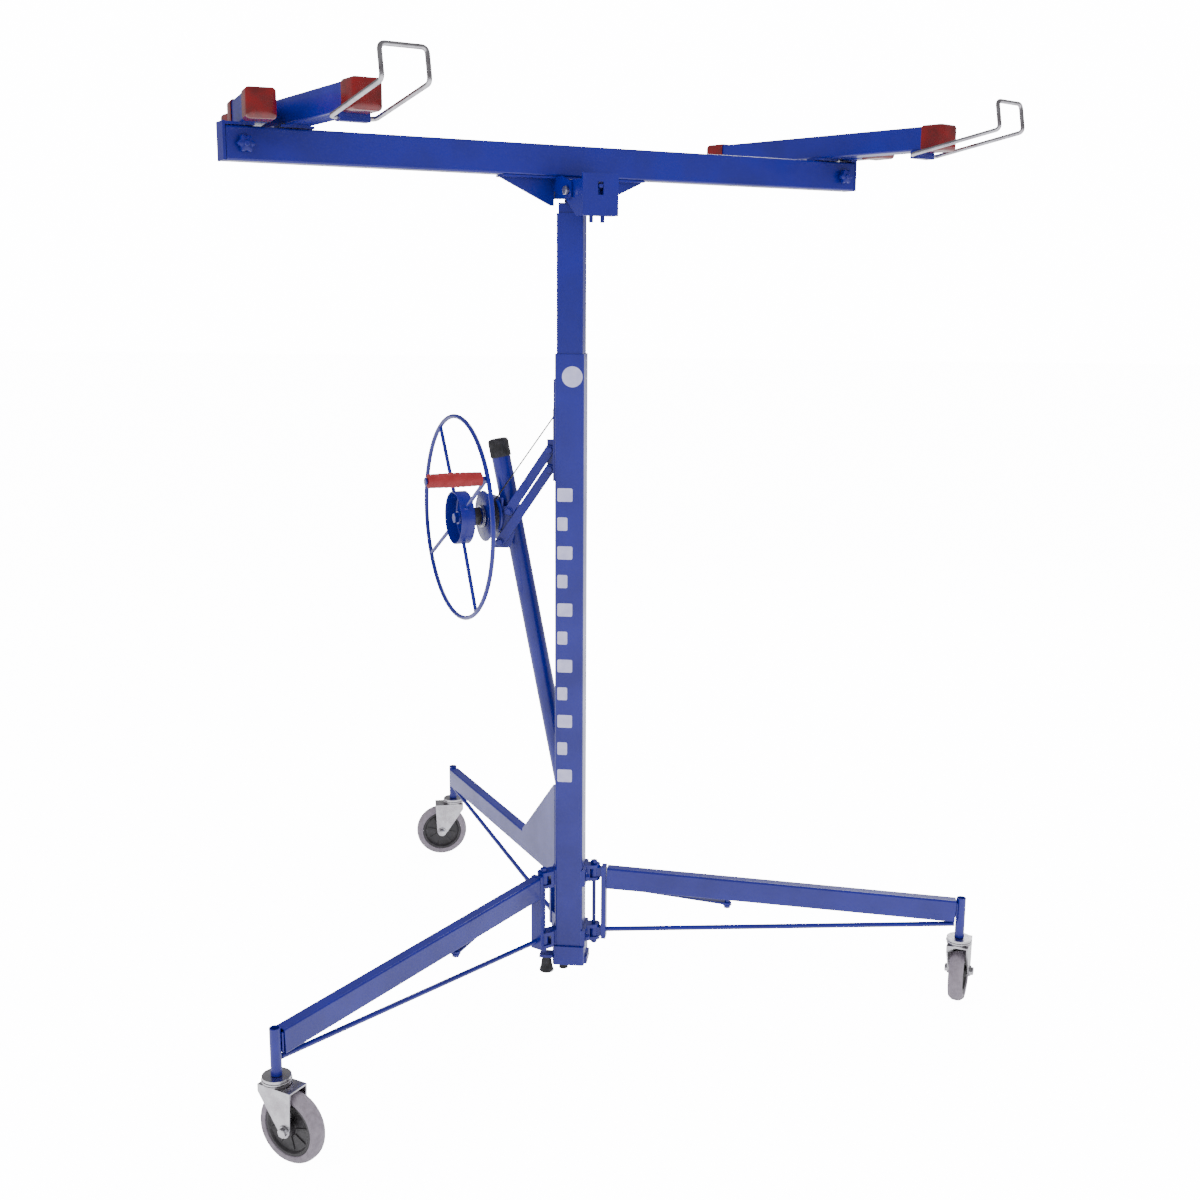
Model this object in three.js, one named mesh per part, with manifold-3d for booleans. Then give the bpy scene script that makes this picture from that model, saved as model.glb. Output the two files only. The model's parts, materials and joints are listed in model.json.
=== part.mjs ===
// Drywall panel lift: folding tripod base, three-stage mast with a hand-wheel cable winch,
// and a swivelling, tilting cradle with two arms, two hooks and two sliding outriggers.
// Millimetres, +Z up. +X runs along the fixed direction of leg B, the mast's wide face looks along -Y.
import * as THREE from 'three';
import Module from 'manifold-3d';
import { mergeVertices } from 'three/addons/utils/BufferGeometryUtils.js';

// ---- driving dimensions ------------------------------------------------------------------
const GAP = 0.35;                       // clearance between touching pieces
const SIDES = 20;                       // facets on a small round piece

const WHEEL_DIA = 127, WHEEL_WIDTH = 30, CORE_DIA = 96, CASTER_TRAIL = 31, CASTER_HEIGHT = 148;
const FORK_GAP = 37, FORK_PLATE = 3, AXLE_DIA = 9, STEM_DIA = 11, RACE_DIA = 50;

const LEG_REACH = 798;                  // mast axis to each caster post
const POST_DIA = 19, POST_WALL = 2, POST_TOP = 233;
const BEAM_WIDTH = 25, BEAM_HEIGHT = 46, BEAM_WALL = 2.5, BEAM_TOP_HUB = 258, BEAM_TOP_POST = 229;
const UPRIGHT_NEAR = 16, UPRIGHT_FAR = 26, UPRIGHT_LOW = 100;
const ROD_DIA = 10, ROD_LOW = 117, ROD_HIGH = 176;
const PIN_A = [-50, -42], PIN_B = [48, 14];      // vertical hinge pins of the two folding legs
const PIN_DIA = 8, KNUCKLE_DIA = 20, LOBE_DIA = 26;
const HUB_UPPER = [228, 262], HUB_LOWER = [96, 130], KNUCKLE_INSET = 7;
const STRAP_BOLT = 278, STRAP_LENGTH = 236, STRAP_SPLAY = 13.2, STRAP_Z = 190;

const MAST_W = 57, MAST_D = 63.5, MAST_WALL = 2.5, MAST_LOW = 66, MAST_TOP = 1311;
const MIDDLE_W = 51, MIDDLE_D = 57.5, MIDDLE_TOP = 1573, MIDDLE_LENGTH = 1220;
const INNER_W = 45, INNER_D = 51.5, INNER_TOP = 1592, INNER_LENGTH = 1160;

const WINCH_POST_DIA = 38, WINCH_POST_WALL = 2.5, WINCH_POST_Y = 60, LEAN = 0.189;
const WINCH_POST_X0 = -14, WINCH_POST_LOW = 378, WINCH_POST_TOP = 1131;
const WHEEL_CENTRE = [-228, 0, 985], WINCH_YAW = 31.2;
const RIM_RADIUS = 201, RIM_ROD = 9, SPOKE_ROD = 8, HUB_RING_DIA = 106, HUB_RING = [-10, 20];
const GRIP_ANGLE = 30, GRIP_DIA = 26, GRIP_LENGTH = 106;

const CRADLE_YAW = 36, BEAM_Z = 1638.5, CROSS_H = 57, CROSS_D = 38, CROSS_HALF = 660, CROSS_WALL = 2.5;
const HEAD_W = 75, HEAD_PLATE = 4, HEAD_TOP = 1630, TILT_V = -62, TILT_Z = 1611;
const ARM_PIVOT = { left: -537, right: 590 };
const ARM_SIZE = 45, ARM_HALF = 310, ARM_Z = 1700, CAP_WALL = 2.5, CAP_DEPTH = 46;
const ARM_TURN = { left: 3, right: 12.5 };        // how far each arm stands off square
const TEE_U = { left: -611, right: 651 }, TEE_HALF = 112, TEE_TURN = { left: -8, right: 8 };
const HOOK_WIRE = 8, HOOK_HALF = 38, HOOK_REACH = 200, HOOK_RISE = 51, HOOK_TILT = 9.7;

// ---- finishes -----------------------------------------------------------------------------
const paint = (color, roughness, metalness) =>
  new THREE.MeshStandardMaterial({ color, roughness, metalness });
const BLUE = paint(0x243493, 0.3, 0.1);
const RED = paint(0x8e1d22, 0.35, 0);
const GRIP_RED = paint(0xb0262b, 0.7, 0);
const RUBBER = paint(0x1a1a1c, 0.8, 0);
const TREAD = paint(0x77707a, 0.7, 0);
const CORE = paint(0x1f1e20, 0.5, 0);
const ZINC = paint(0xb9b8bc, 0.3, 1);
const WIRE_ROPE = paint(0x5b5b5e, 0.4, 1);

// ---- solids -------------------------------------------------------------------------------
const wasm = await Module();
wasm.setup();
const rad = THREE.MathUtils.degToRad;
const V = (x, y, z) => new THREE.Vector3(x, y, z);

function solid(geometry) {
  const g = geometry.clone();
  g.deleteAttribute('normal');
  g.deleteAttribute('uv');
  const m = mergeVertices(g, 1e-4);
  return new wasm.Manifold(new wasm.Mesh({ numProp: 3,
    vertProperties: new Float32Array(m.attributes.position.array),
    triVerts: new Uint32Array(m.index.array) }));
}

function shell(manifold) {
  const mesh = manifold.getMesh();
  const g = new THREE.BufferGeometry();
  g.setAttribute('position', new THREE.BufferAttribute(new Float32Array(mesh.vertProperties), 3));
  g.setIndex(new THREE.BufferAttribute(new Uint32Array(mesh.triVerts), 1));
  g.computeVertexNormals();
  return g;
}

const join = (...parts) => shell(parts.map(solid).reduce((a, b) => a.add(b)));
const cut = (body, ...tools) => shell(tools.map(solid).reduce((a, b) => a.subtract(b), solid(body)));

const box = (x0, x1, y0, y1, z0, z1) =>
  new THREE.BoxGeometry(x1 - x0, y1 - y0, z1 - z0).translate((x0 + x1) / 2, (y0 + y1) / 2, (z0 + z1) / 2);

// Turns a geometry built along +Z into one that runs from a to b, its own Y kept level where it can be.
function between(geometry, a, b) {
  const dir = b.clone().sub(a).normalize();
  const side = Math.abs(dir.z) > 0.999 ? V(0, 1, 0) : V(0, 0, 1).cross(dir).normalize();
  const up = side.clone().cross(dir);
  return geometry.clone().applyMatrix4(new THREE.Matrix4().makeBasis(up, side, dir).setPosition(a));
}

const bar = (a, b, dia, sides = SIDES) => {
  const length = a.distanceTo(b);
  const g = new THREE.CylinderGeometry(dia / 2, dia / 2, length, sides).rotateX(Math.PI / 2);
  return between(g.translate(0, 0, length / 2), a, b);
};

function roundedRect(w, h, r) {
  const s = new THREE.Shape();
  s.moveTo(-w / 2 + r, -h / 2);
  s.lineTo(w / 2 - r, -h / 2);
  s.absarc(w / 2 - r, -h / 2 + r, r, -Math.PI / 2, 0);
  s.lineTo(w / 2, h / 2 - r);
  s.absarc(w / 2 - r, h / 2 - r, r, 0, Math.PI / 2);
  s.lineTo(-w / 2 + r, h / 2);
  s.absarc(-w / 2 + r, h / 2 - r, r, Math.PI / 2, Math.PI);
  s.lineTo(-w / 2, -h / 2 + r);
  s.absarc(-w / 2 + r, -h / 2 + r, r, Math.PI, Math.PI * 1.5);
  return s;
}

const extrude = (shape, depth, curveSegments = 3) =>
  new THREE.ExtrudeGeometry(shape, { depth, bevelEnabled: false, curveSegments });

// Rectangular tube along +Z from z = 0, w along X and h along Y.
function rectTube(w, h, wall, length, r = 4) {
  const shape = roundedRect(w, h, r);
  shape.holes.push(roundedRect(w - 2 * wall, h - 2 * wall, Math.max(r - wall, 0.8)));
  return extrude(shape, length);
}

function roundTube(outer, inner, length, sides = SIDES) {
  const shape = new THREE.Shape().absarc(0, 0, outer / 2, 0, Math.PI * 2);
  shape.holes.push(new THREE.Path().absarc(0, 0, inner / 2, 0, Math.PI * 2));
  return extrude(shape, length, sides);
}

const disc = (dia, z0, z1, x = 0, y = 0, sides = SIDES) =>
  new THREE.CylinderGeometry(dia / 2, dia / 2, z1 - z0, sides).rotateX(Math.PI / 2).translate(x, y, (z0 + z1) / 2);

const polygon = (points) => new THREE.Shape(points.map(([x, y]) => new THREE.Vector2(x, y)));

// A plate whose outline is drawn in X-Z and whose thickness runs along Y from y0 to y1.
const plateXZ = (points, y0, y1) => extrude(polygon(points), y1 - y0).rotateX(Math.PI / 2).translate(0, y1, 0);
// A plate whose outline is drawn in Y-Z and whose thickness runs along X from x0 to x1.
const plateYZ = (points, x0, x1) =>
  extrude(polygon(points), x1 - x0).applyMatrix4(new THREE.Matrix4().makeBasis(V(0, 1, 0), V(0, 0, 1), V(1, 0, 0)))
    .translate(x0, 0, 0);

const lathe = (points, sides = 32) =>
  new THREE.LatheGeometry(points.map(([r, z]) => new THREE.Vector2(r, z)), sides).rotateX(Math.PI / 2);

// Round wire along a polyline whose corners are rounded with the given radius.
function wire(points, dia, bend, sides, steps) {
  const path = new THREE.CurvePath();
  let from = points[0];
  for (let i = 1; i < points.length - 1; i++) {
    const back = points[i - 1].clone().sub(points[i]).normalize();
    const ahead = points[i + 1].clone().sub(points[i]).normalize();
    const a = points[i].clone().addScaledVector(back, bend);
    const b = points[i].clone().addScaledVector(ahead, bend);
    path.add(new THREE.LineCurve3(from, a));
    path.add(new THREE.QuadraticBezierCurve3(a, points[i], b));
    from = b;
  }
  path.add(new THREE.LineCurve3(from, points[points.length - 1]));
  const circle = new THREE.Shape().absarc(0, 0, dia / 2, 0, Math.PI * 2);
  return new THREE.ExtrudeGeometry(circle, { steps, extrudePath: path, curveSegments: sides / 2 });
}

// ---- scene graph helpers ------------------------------------------------------------------
const lift = new THREE.Group();

function frameAt(parent, x = 0, y = 0, z = 0, turn = 0, name = '') {
  const g = new THREE.Group();
  g.position.set(x, y, z);
  g.rotation.z = rad(turn);
  g.name = name;
  parent.add(g);
  return g;
}

function piece(parent, name, geometry, material) {
  const mesh = new THREE.Mesh(geometry, material);
  mesh.name = name;
  parent.add(mesh);
  return mesh;
}

// ---- casters ------------------------------------------------------------------------------
// Local frame: swivel axis on the origin, floor at z = 0, wheel trailing along +X.
function fork() {
  const axleZ = WHEEL_DIA / 2;
  const crownZ = WHEEL_DIA + 5;
  const cheek = [[-24, crownZ + 3], [-24, crownZ - 10], [CASTER_TRAIL - 12, axleZ - 3], [CASTER_TRAIL - 6, axleZ - 10],
    [CASTER_TRAIL + 6, axleZ - 10], [CASTER_TRAIL + 12, axleZ - 2], [46, crownZ - 6], [46, crownZ + 3]];
  const half = FORK_GAP / 2;
  return join(
    plateXZ(cheek, half, half + FORK_PLATE),
    plateXZ(cheek, -half - FORK_PLATE, -half),
    box(-24, 46, -half - FORK_PLATE, half + FORK_PLATE, crownZ, crownZ + 3),
    disc(RACE_DIA - 4, crownZ + 1, crownZ + 8),
    disc(RACE_DIA, crownZ + 7, CASTER_HEIGHT - GAP),
    disc(STEM_DIA, CASTER_HEIGHT - 3, CASTER_HEIGHT + 38),
    bar(V(CASTER_TRAIL, -half - FORK_PLATE - 5, axleZ), V(CASTER_TRAIL, half + FORK_PLATE + 5, axleZ), AXLE_DIA),
  );
}

function tyre() {
  const inner = CORE_DIA / 2 + GAP;
  const outer = WHEEL_DIA / 2;
  const half = WHEEL_WIDTH / 2;
  const points = [[inner, -half + 2], [outer - 9, -half], [outer - 3, -half + 4], [outer, -4], [outer, 4],
    [outer - 3, half - 4], [outer - 9, half], [inner, half - 2], [inner, -half + 2]];
  return lathe(points, 28).rotateX(Math.PI / 2);
}

function wheelCore() {
  const rim = CORE_DIA / 2;
  const bore = AXLE_DIA / 2 + 0.4;
  const points = [[bore, -17.5], [12, -17.5], [15, -8], [rim - 9, -7], [rim - 5, -12], [rim, -12],
    [rim, 12], [rim - 5, 12], [rim - 9, 7], [15, 8], [12, 17.5], [bore, 17.5], [bore, -17.5]];
  return lathe(points, 28).rotateX(Math.PI / 2);
}

function caster(parent, letter, x, y, trailTurn) {
  const swivel = frameAt(parent, x, y, 0, trailTurn, `caster_${letter}_swivel`);
  piece(swivel, `caster_${letter}_fork`, fork(), ZINC);
  const roll = frameAt(swivel, CASTER_TRAIL, 0, WHEEL_DIA / 2, 0, `wheel_${letter}_roll`);
  piece(roll, `caster_${letter}_tyre`, tyre(), TREAD);
  piece(roll, `caster_${letter}_core`, wheelCore(), CORE);
}

// ---- legs ---------------------------------------------------------------------------------
// Local frame: +X from the hinge pin (or hub) to the caster post, z measured from the floor.
function legBeam(start, reach) {
  const a = V(start + 1.5, 0, BEAM_TOP_HUB - BEAM_HEIGHT / 2 - 1);
  const b = V(reach - POST_DIA / 2 - 1.6, 0, BEAM_TOP_POST - BEAM_HEIGHT / 2);
  return between(rectTube(BEAM_HEIGHT, BEAM_WIDTH, BEAM_WALL, a.distanceTo(b)), a, b);
}

const legPost = () =>
  roundTube(POST_DIA, POST_DIA - 2 * POST_WALL, POST_TOP - CASTER_HEIGHT, 12).translate(0, 0, CASTER_HEIGHT);

function knuckle([low, high]) {
  const z0 = low + KNUCKLE_INSET + GAP;
  const z1 = high - KNUCKLE_INSET - GAP;
  return [disc(KNUCKLE_DIA, z0, z1), box(4, UPRIGHT_NEAR + 1, -7, 7, z0, z1)];
}

function legTruss(start, reach, hinged) {
  const upright = box(start - (UPRIGHT_FAR - UPRIGHT_NEAR), start, -BEAM_WIDTH / 2, BEAM_WIDTH / 2,
    UPRIGHT_LOW, BEAM_TOP_HUB);
  const rod = bar(V(start - 3, 0, ROD_LOW), V(reach - POST_DIA / 2 - 1.4, 0, ROD_HIGH), ROD_DIA, 12);
  if (!hinged) return join(upright, rod);
  const bores = [HUB_UPPER, HUB_LOWER].map(([a, b]) => disc(PIN_DIA + 0.8, a, b));
  return cut(join(upright, rod, ...knuckle(HUB_UPPER), ...knuckle(HUB_LOWER)), ...bores);
}

function strap() {
  const half = 9;
  const outline = new THREE.Shape();
  outline.absarc(0, 0, half, -Math.PI / 2, Math.PI / 2);
  outline.lineTo(-STRAP_LENGTH, half);
  outline.absarc(-STRAP_LENGTH, 0, half, Math.PI / 2, Math.PI * 1.5);
  const stud = disc(9, 3, 10);
  return join(extrude(outline, 4, 6), stud).translate(0, 0, STRAP_Z);
}

function foldingLeg(letter, pin, postAngle, trailAngle, strapSide) {
  const post = V(LEG_REACH * Math.cos(rad(postAngle)), LEG_REACH * Math.sin(rad(postAngle)), 0);
  const dir = post.clone().sub(V(pin[0], pin[1], 0));
  const reach = dir.length();
  const turn = THREE.MathUtils.radToDeg(Math.atan2(dir.y, dir.x));
  const leg = frameAt(lift, pin[0], pin[1], 0, turn, `leg_${letter}_fold`);
  piece(leg, `leg_${letter}_beam`, legBeam(UPRIGHT_FAR, reach), BLUE);
  piece(leg, `leg_${letter}_post`, legPost().translate(reach, 0, 0), BLUE);
  piece(leg, `leg_${letter}_truss`, legTruss(UPRIGHT_FAR, reach, true), BLUE);
  const hinge = frameAt(leg, STRAP_BOLT, 0, 0, strapSide * STRAP_SPLAY, `strap_${letter}_hinge`);
  piece(hinge, `leg_${letter}_strap`, strap(), BLUE);
  caster(leg, letter, reach, 0, trailAngle - turn);
}

const C_START = 90;                     // where the fixed leg's tube begins, out from the mast axis
function fixedLeg(trailAngle) {
  const leg = frameAt(lift, 0, 0, 0, 120);
  piece(leg, 'leg_c_beam', legBeam(C_START, LEG_REACH), BLUE);
  piece(leg, 'leg_c_post', legPost().translate(LEG_REACH, 0, 0), BLUE);
  piece(leg, 'leg_c_truss', legTruss(C_START, LEG_REACH, false), BLUE);
  caster(leg, 'c', LEG_REACH, 0, trailAngle - 120);
}

// ---- hub on the mast's foot -----------------------------------------------------------------
function hubBlock([low, high], extra) {
  const arms = [PIN_A, PIN_B].flatMap(([x, y]) => {
    const away = bar(V(x * 0.35, y * 0.35, (low + high) / 2), V(x, y, (low + high) / 2), 10);
    const length = Math.hypot(x, y);
    const web = box(8, length, -LOBE_DIA / 2, LOBE_DIA / 2, low, high).rotateZ(Math.atan2(y, x));
    return [away, web, disc(LOBE_DIA, low, high, x, y, 24)];
  });
  const ring = extrude(roundedRect(MAST_W + 12, MAST_D + 12, 6), high - low).translate(0, 0, low);
  const bore = extrude(roundedRect(MAST_W + 2 * GAP, MAST_D + 2 * GAP, 4), high - low + 20);
  const slots = [PIN_A, PIN_B].flatMap(([x, y]) => [
    disc(KNUCKLE_DIA + 14, low + KNUCKLE_INSET, high - KNUCKLE_INSET, x, y, 24),
    disc(PIN_DIA + 0.8, low - 1, high + 1, x, y),
  ]);
  const front = box(-MAST_W / 2 - GAP, 60, -70, -MAST_D / 2 - GAP, low - 5, high + 5);
  return cut(join(ring, ...arms, ...extra), bore.translate(0, 0, low - 10), front, ...slots);
}

// Tall triangular rib that ties the fixed leg to the mast, in the leg's own frame.
function legGusset() {
  const left = BEAM_WIDTH / 2 + 1.5;
  const rib = plateXZ([[42, HUB_UPPER[1] - 8], [42, 424], [48, 424], [236, 262], [236, 236], [60, 232]], left, left + 5);
  return rib.rotateZ(rad(120));
}

// Short channel under the fixed leg's root, tied to the hub ring.
function legRoot(low, high) {
  return box(26, C_START - (UPRIGHT_FAR - UPRIGHT_NEAR) - 0.6, -11, 11, low, high).rotateZ(rad(120));
}

function hingePin([x, y]) {
  const low = HUB_LOWER[0] - GAP;
  const high = HUB_UPPER[1] + GAP;
  return join(disc(PIN_DIA, low - 10, high + 4, x, y), disc(15, high, high + 7, x, y, 6),
    disc(14, low - 8, low, x, y, 6));
}

const FOOT_TOP = 70;                    // underside of the pad the rubber foot is screwed to
function footSocket() {
  const outer = [MAST_W + 9, MAST_D + 9];
  const sleeve = extrude(roundedRect(outer[0], outer[1], 6), 36).translate(0, 0, 59);
  const flare = box(30, 38, -24, 20, 54, 70);
  const floor = extrude(roundedRect(outer[0], outer[1], 6), 6).translate(0, 0, 54);
  const pad = box(-60, -32, -40, -14, FOOT_TOP, FOOT_TOP + 6);
  const bore = extrude(roundedRect(MAST_W + 2 * GAP, MAST_D + 2 * GAP, 4), 60).translate(0, 0, MAST_LOW - 2);
  return cut(join(sleeve, flare, floor, pad), bore);
}

const rubberFoot = () =>
  lathe([[0, 0], [14.5, 0], [15, 5], [10.5, 26], [10, 33], [0, 33]], SIDES).translate(-46, -28, FOOT_TOP - GAP - 33);

// ---- mast -----------------------------------------------------------------------------------
const CABLE_PORT = { x: 3, z: 1122 };
function mastOuter() {
  const tube = rectTube(MAST_W, MAST_D, MAST_WALL, MAST_TOP - MAST_LOW, 5).translate(0, 0, MAST_LOW);
  return cut(tube, box(CABLE_PORT.x - 4, CABLE_PORT.x + 4, 25, 40, CABLE_PORT.z - 14, CABLE_PORT.z + 14));
}

// ---- winch post, braces and mast bracket ------------------------------------------------------
const postX = (z) => WINCH_POST_X0 - LEAN * (z - WINCH_POST_LOW);
const SOCKET_TOP = WINCH_POST_LOW - 8;

function postSocket() {
  const back = box(-27, 27, MAST_D / 2 + GAP, MAST_D / 2 + 5, SOCKET_TOP - 50, SOCKET_TOP);
  const shelf = box(-32, 8, MAST_D / 2 + 2, WINCH_POST_Y + 20, SOCKET_TOP - 5, SOCKET_TOP);
  const rib = plateYZ([[MAST_D / 2 + 2, SOCKET_TOP - 48], [WINCH_POST_Y + 16, SOCKET_TOP - 4],
    [MAST_D / 2 + 2, SOCKET_TOP - 4]], -14, -10);
  const low = V(postX(SOCKET_TOP - 3), WINCH_POST_Y, SOCKET_TOP - 3);
  const high = V(postX(SOCKET_TOP + 66), WINCH_POST_Y, SOCKET_TOP + 66);
  return join(back, shelf, rib, bar(low, high, WINCH_POST_DIA - 2 * WINCH_POST_WALL - 1, 24));
}

function winchPost() {
  const a = V(postX(WINCH_POST_LOW), WINCH_POST_Y, WINCH_POST_LOW);
  const b = V(postX(WINCH_POST_TOP), WINCH_POST_Y, WINCH_POST_TOP);
  const tube = roundTube(WINCH_POST_DIA, WINCH_POST_DIA - 2 * WINCH_POST_WALL, a.distanceTo(b), 14);
  return between(tube, a, b);
}

function postCap() {
  const r = WINCH_POST_DIA / 2;
  const profile = [[0, 4], [r - 3, 4], [r - 3, 1], [r + GAP, 1], [r + GAP, -29], [r + 2.2, -29], [r + 1.8, 0],
    [r - 3, 6], [0, 8]];
  const a = V(postX(WINCH_POST_TOP), WINCH_POST_Y, WINCH_POST_TOP);
  const b = V(postX(WINCH_POST_TOP + 10), WINCH_POST_Y, WINCH_POST_TOP + 10);
  return between(lathe(profile, 28), a, b);
}

const BRACE = { wide: 19, thick: 5, y: 19.7 };
const BRACES = {
  front: [[-46, 1083], [-147, 934]],
  rear: [[-46, 1121.5], [-129, 997]],
};
function brace([[x0, z0], [x1, z1]]) {
  const along = new THREE.Vector2(x1 - x0, z1 - z0).normalize();
  const outline = [[-6, -BRACE.wide / 2], [-9, 0], [-6, BRACE.wide / 2]];
  const length = Math.hypot(x1 - x0, z1 - z0);
  const full = [...outline, [length + 5, BRACE.wide / 2], [length + 9, 0], [length + 5, -BRACE.wide / 2]].reverse();
  const placed = full.map(([t, w]) => [x0 + along.x * t - along.y * w, z0 + along.y * t + along.x * w]);
  return plateXZ(placed, BRACE.y, BRACE.y + BRACE.thick);
}

const SHEAVE = { x: -15, y: 48, z: 1188, radius: 18 };
function mastBracket() {
  const face = MAST_W / 2 + GAP;
  const rear = MAST_D / 2 + GAP;
  return join(
    box(-face - 4.5, -face, -22, rear + 4, 1065, 1206),
    box(-face - 4.5, 18, rear, rear + 4, 1148, 1206),
    box(-52, -face, BRACE.y + BRACE.thick + GAP, BRACE.y + BRACE.thick + 4, 1076, 1142),
    bar(V(SHEAVE.x, rear + 2, SHEAVE.z), V(SHEAVE.x, SHEAVE.y + 9, SHEAVE.z), 9),
    box(-face - 4.5, -face, -14, 2, 1204, 1262),
  );
}

function sheave() {
  const r = SHEAVE.radius;
  const profile = [[5, -7], [r + 3.5, -7], [r + 3.5, -5.5], [r, -2.5], [r, 2.5], [r + 3.5, 5.5], [r + 3.5, 7], [5, 7], [5, -7]];
  return lathe(profile, 28).rotateX(Math.PI / 2);
}

// Steel rope from the drum up over the sheave and down into the mast.
const CABLE_DIA = 3;
function cable() {
  const r = SHEAVE.radius + CABLE_DIA / 2 + 2 * GAP;
  const lineAngle = rad(145);           // where the rope first touches the sheave
  const arc = (a) => V(SHEAVE.x + r * Math.cos(a), SHEAVE.y, SHEAVE.z + r * Math.sin(a));
  const points = [V(-160.8, 24, 1013.6)];
  for (let k = 0; k <= 6; k++) points.push(arc(lineAngle * (1 - k / 6)));
  points.push(V(SHEAVE.x + r, SHEAVE.y, SHEAVE.z - 40));
  points.push(V(CABLE_PORT.x + 1.5, MAST_D / 2 - 1.5, CABLE_PORT.z));
  return join(...points.slice(1).map((p, i) => bar(points[i], p, CABLE_DIA, 8)));
}

// ---- winch ------------------------------------------------------------------------------------
// Local frame: shaft along +X, wheel plane at x = 0, post ahead of it at x = 116.
const PLATE_X = [85, 89];
function winchFrame() {
  const plate = box(PLATE_X[0], PLATE_X[1], -22, 34, -50, 38);
  const cheeks = [-24.6, 20.6].map((y) => box(PLATE_X[1] - 1, 126, y, y + 4, -12, 12));
  const clamp = join(plate, ...cheeks);
  const ear = plateXZ([[-143, 1006], [-118, 1006], [-118, 950], [-128, 922], [-158, 922], [-158, 931], [-143, 944]],
    BRACE.y + BRACE.thick + GAP, BRACE.y + BRACE.thick + 4);
  const local = ear.translate(-WHEEL_CENTRE[0], -WHEEL_CENTRE[1], -WHEEL_CENTRE[2]).rotateZ(-rad(WINCH_YAW));
  return cut(join(clamp, local), bar(V(78, 0, 0), V(95, 0, 0), 17, 24));
}

function winchWheel() {
  const rim = new THREE.TorusGeometry(RIM_RADIUS, RIM_ROD / 2, 8, 56).rotateY(Math.PI / 2);
  const [front, rear] = HUB_RING;
  const ring = roundTube(HUB_RING_DIA, HUB_RING_DIA - 6, rear - front, 16).rotateY(Math.PI / 2).translate(front, 0, 0);
  const back = disc(HUB_RING_DIA - 4, rear - 5, rear - 1, 0, 0, 32).rotateY(Math.PI / 2);
  const boss = bar(V(2, 0, 0), V(rear, 0, 0), 26, 24);
  const spokes = [0, 1, 2, 3].map((k) => {
    const a = rad(GRIP_ANGLE + 90 * k);
    const at = (r, x) => V(x, -r * Math.cos(a), r * Math.sin(a));
    return bar(at(HUB_RING_DIA / 2 - 2, 2), at(RIM_RADIUS, 0), SPOKE_ROD, 12);
  });
  const g = rad(GRIP_ANGLE);
  const pinAt = (x) => V(x, -(RIM_RADIUS - 5) * Math.cos(g), (RIM_RADIUS - 5) * Math.sin(g));
  const pin = bar(pinAt(2), pinAt(-GRIP_LENGTH - 16), 9, 12);
  const stop = bar(pinAt(-GRIP_LENGTH - 13), pinAt(-GRIP_LENGTH - 16), 15, 12);
  return join(rim, ring, back, boss, ...spokes, pin, stop);
}

function winchDrum() {
  const s = HUB_RING[1] + GAP;
  const profile = [[0, s], [13, s], [13, 45], [19, 46], [19, 53], [51, 54], [51, 58], [30, 59], [30, 77], [36, 78],
    [36, 82], [8, 82.5], [8, 92], [0, 92]];
  return lathe(profile, 36).rotateY(Math.PI / 2);
}

function grip() {
  const r = GRIP_DIA / 2;
  const bore = 5;
  const profile = [[bore, 0], [r - 3, 0], [r, 3], [r + 1, GRIP_LENGTH * 0.5], [r, GRIP_LENGTH - 3],
    [r - 3, GRIP_LENGTH], [bore, GRIP_LENGTH], [bore, 0]];
  return lathe(profile, 24).rotateY(-Math.PI / 2);
}

// ---- cradle head --------------------------------------------------------------------------------
// Local frame: +X along the crossbeam, -Y towards the hooks.
const FRONT_V = -112, LATCH_V = FRONT_V + 15;
function headBox() {
  const half = HEAD_W / 2;
  const side = [[FRONT_V, 1565], [FRONT_V + 26, 1565], [-46, 1596], [35, 1600], [35, HEAD_TOP], [FRONT_V, HEAD_TOP]];
  const body = join(
    plateYZ(side, -half, -half + HEAD_PLATE),
    plateYZ(side, half - HEAD_PLATE, half),
    box(-half, half, FRONT_V, FRONT_V + 4, 1565, HEAD_TOP + 10),
    box(-half, half, FRONT_V, FRONT_V + 26, 1565, 1569),
    box(-half, half, FRONT_V, 35, HEAD_TOP - 4, HEAD_TOP),
    disc(28, INNER_TOP + 1, HEAD_TOP - 2, 0, 0, 24),
  );
  return cut(body,
    box(-6, 6, FRONT_V - 4, FRONT_V + 7, 1602, 1625.5),
    bar(V(-50, TILT_V, TILT_Z), V(50, TILT_V, TILT_Z), 10.8),
    disc(10, 1560, 1573, -12, LATCH_V), disc(10, 1560, 1573, 12, LATCH_V));
}

// Spring plunger bar: two guide rods hang through the box floor and a nose shows in the front slot.
function tiltLatch() {
  const rods = [-12, 12].map((x) => disc(8, 1553, 1604, x, LATCH_V, 16));
  return join(...rods, box(-18, 18, LATCH_V - 5, LATCH_V + 5, 1600, 1608),
    box(-4, 4, LATCH_V - 5, LATCH_V + 3, 1606, 1621), box(-4, 4, FRONT_V - 2, LATCH_V, 1615, 1621));
}

const tiltPin = () => join(bar(V(-49, TILT_V, TILT_Z), V(49, TILT_V, TILT_Z), 10),
  bar(V(-50, TILT_V, TILT_Z), V(-45, TILT_V, TILT_Z), 18, 6), bar(V(45, TILT_V, TILT_Z), V(50, TILT_V, TILT_Z), 18, 6));

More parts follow.
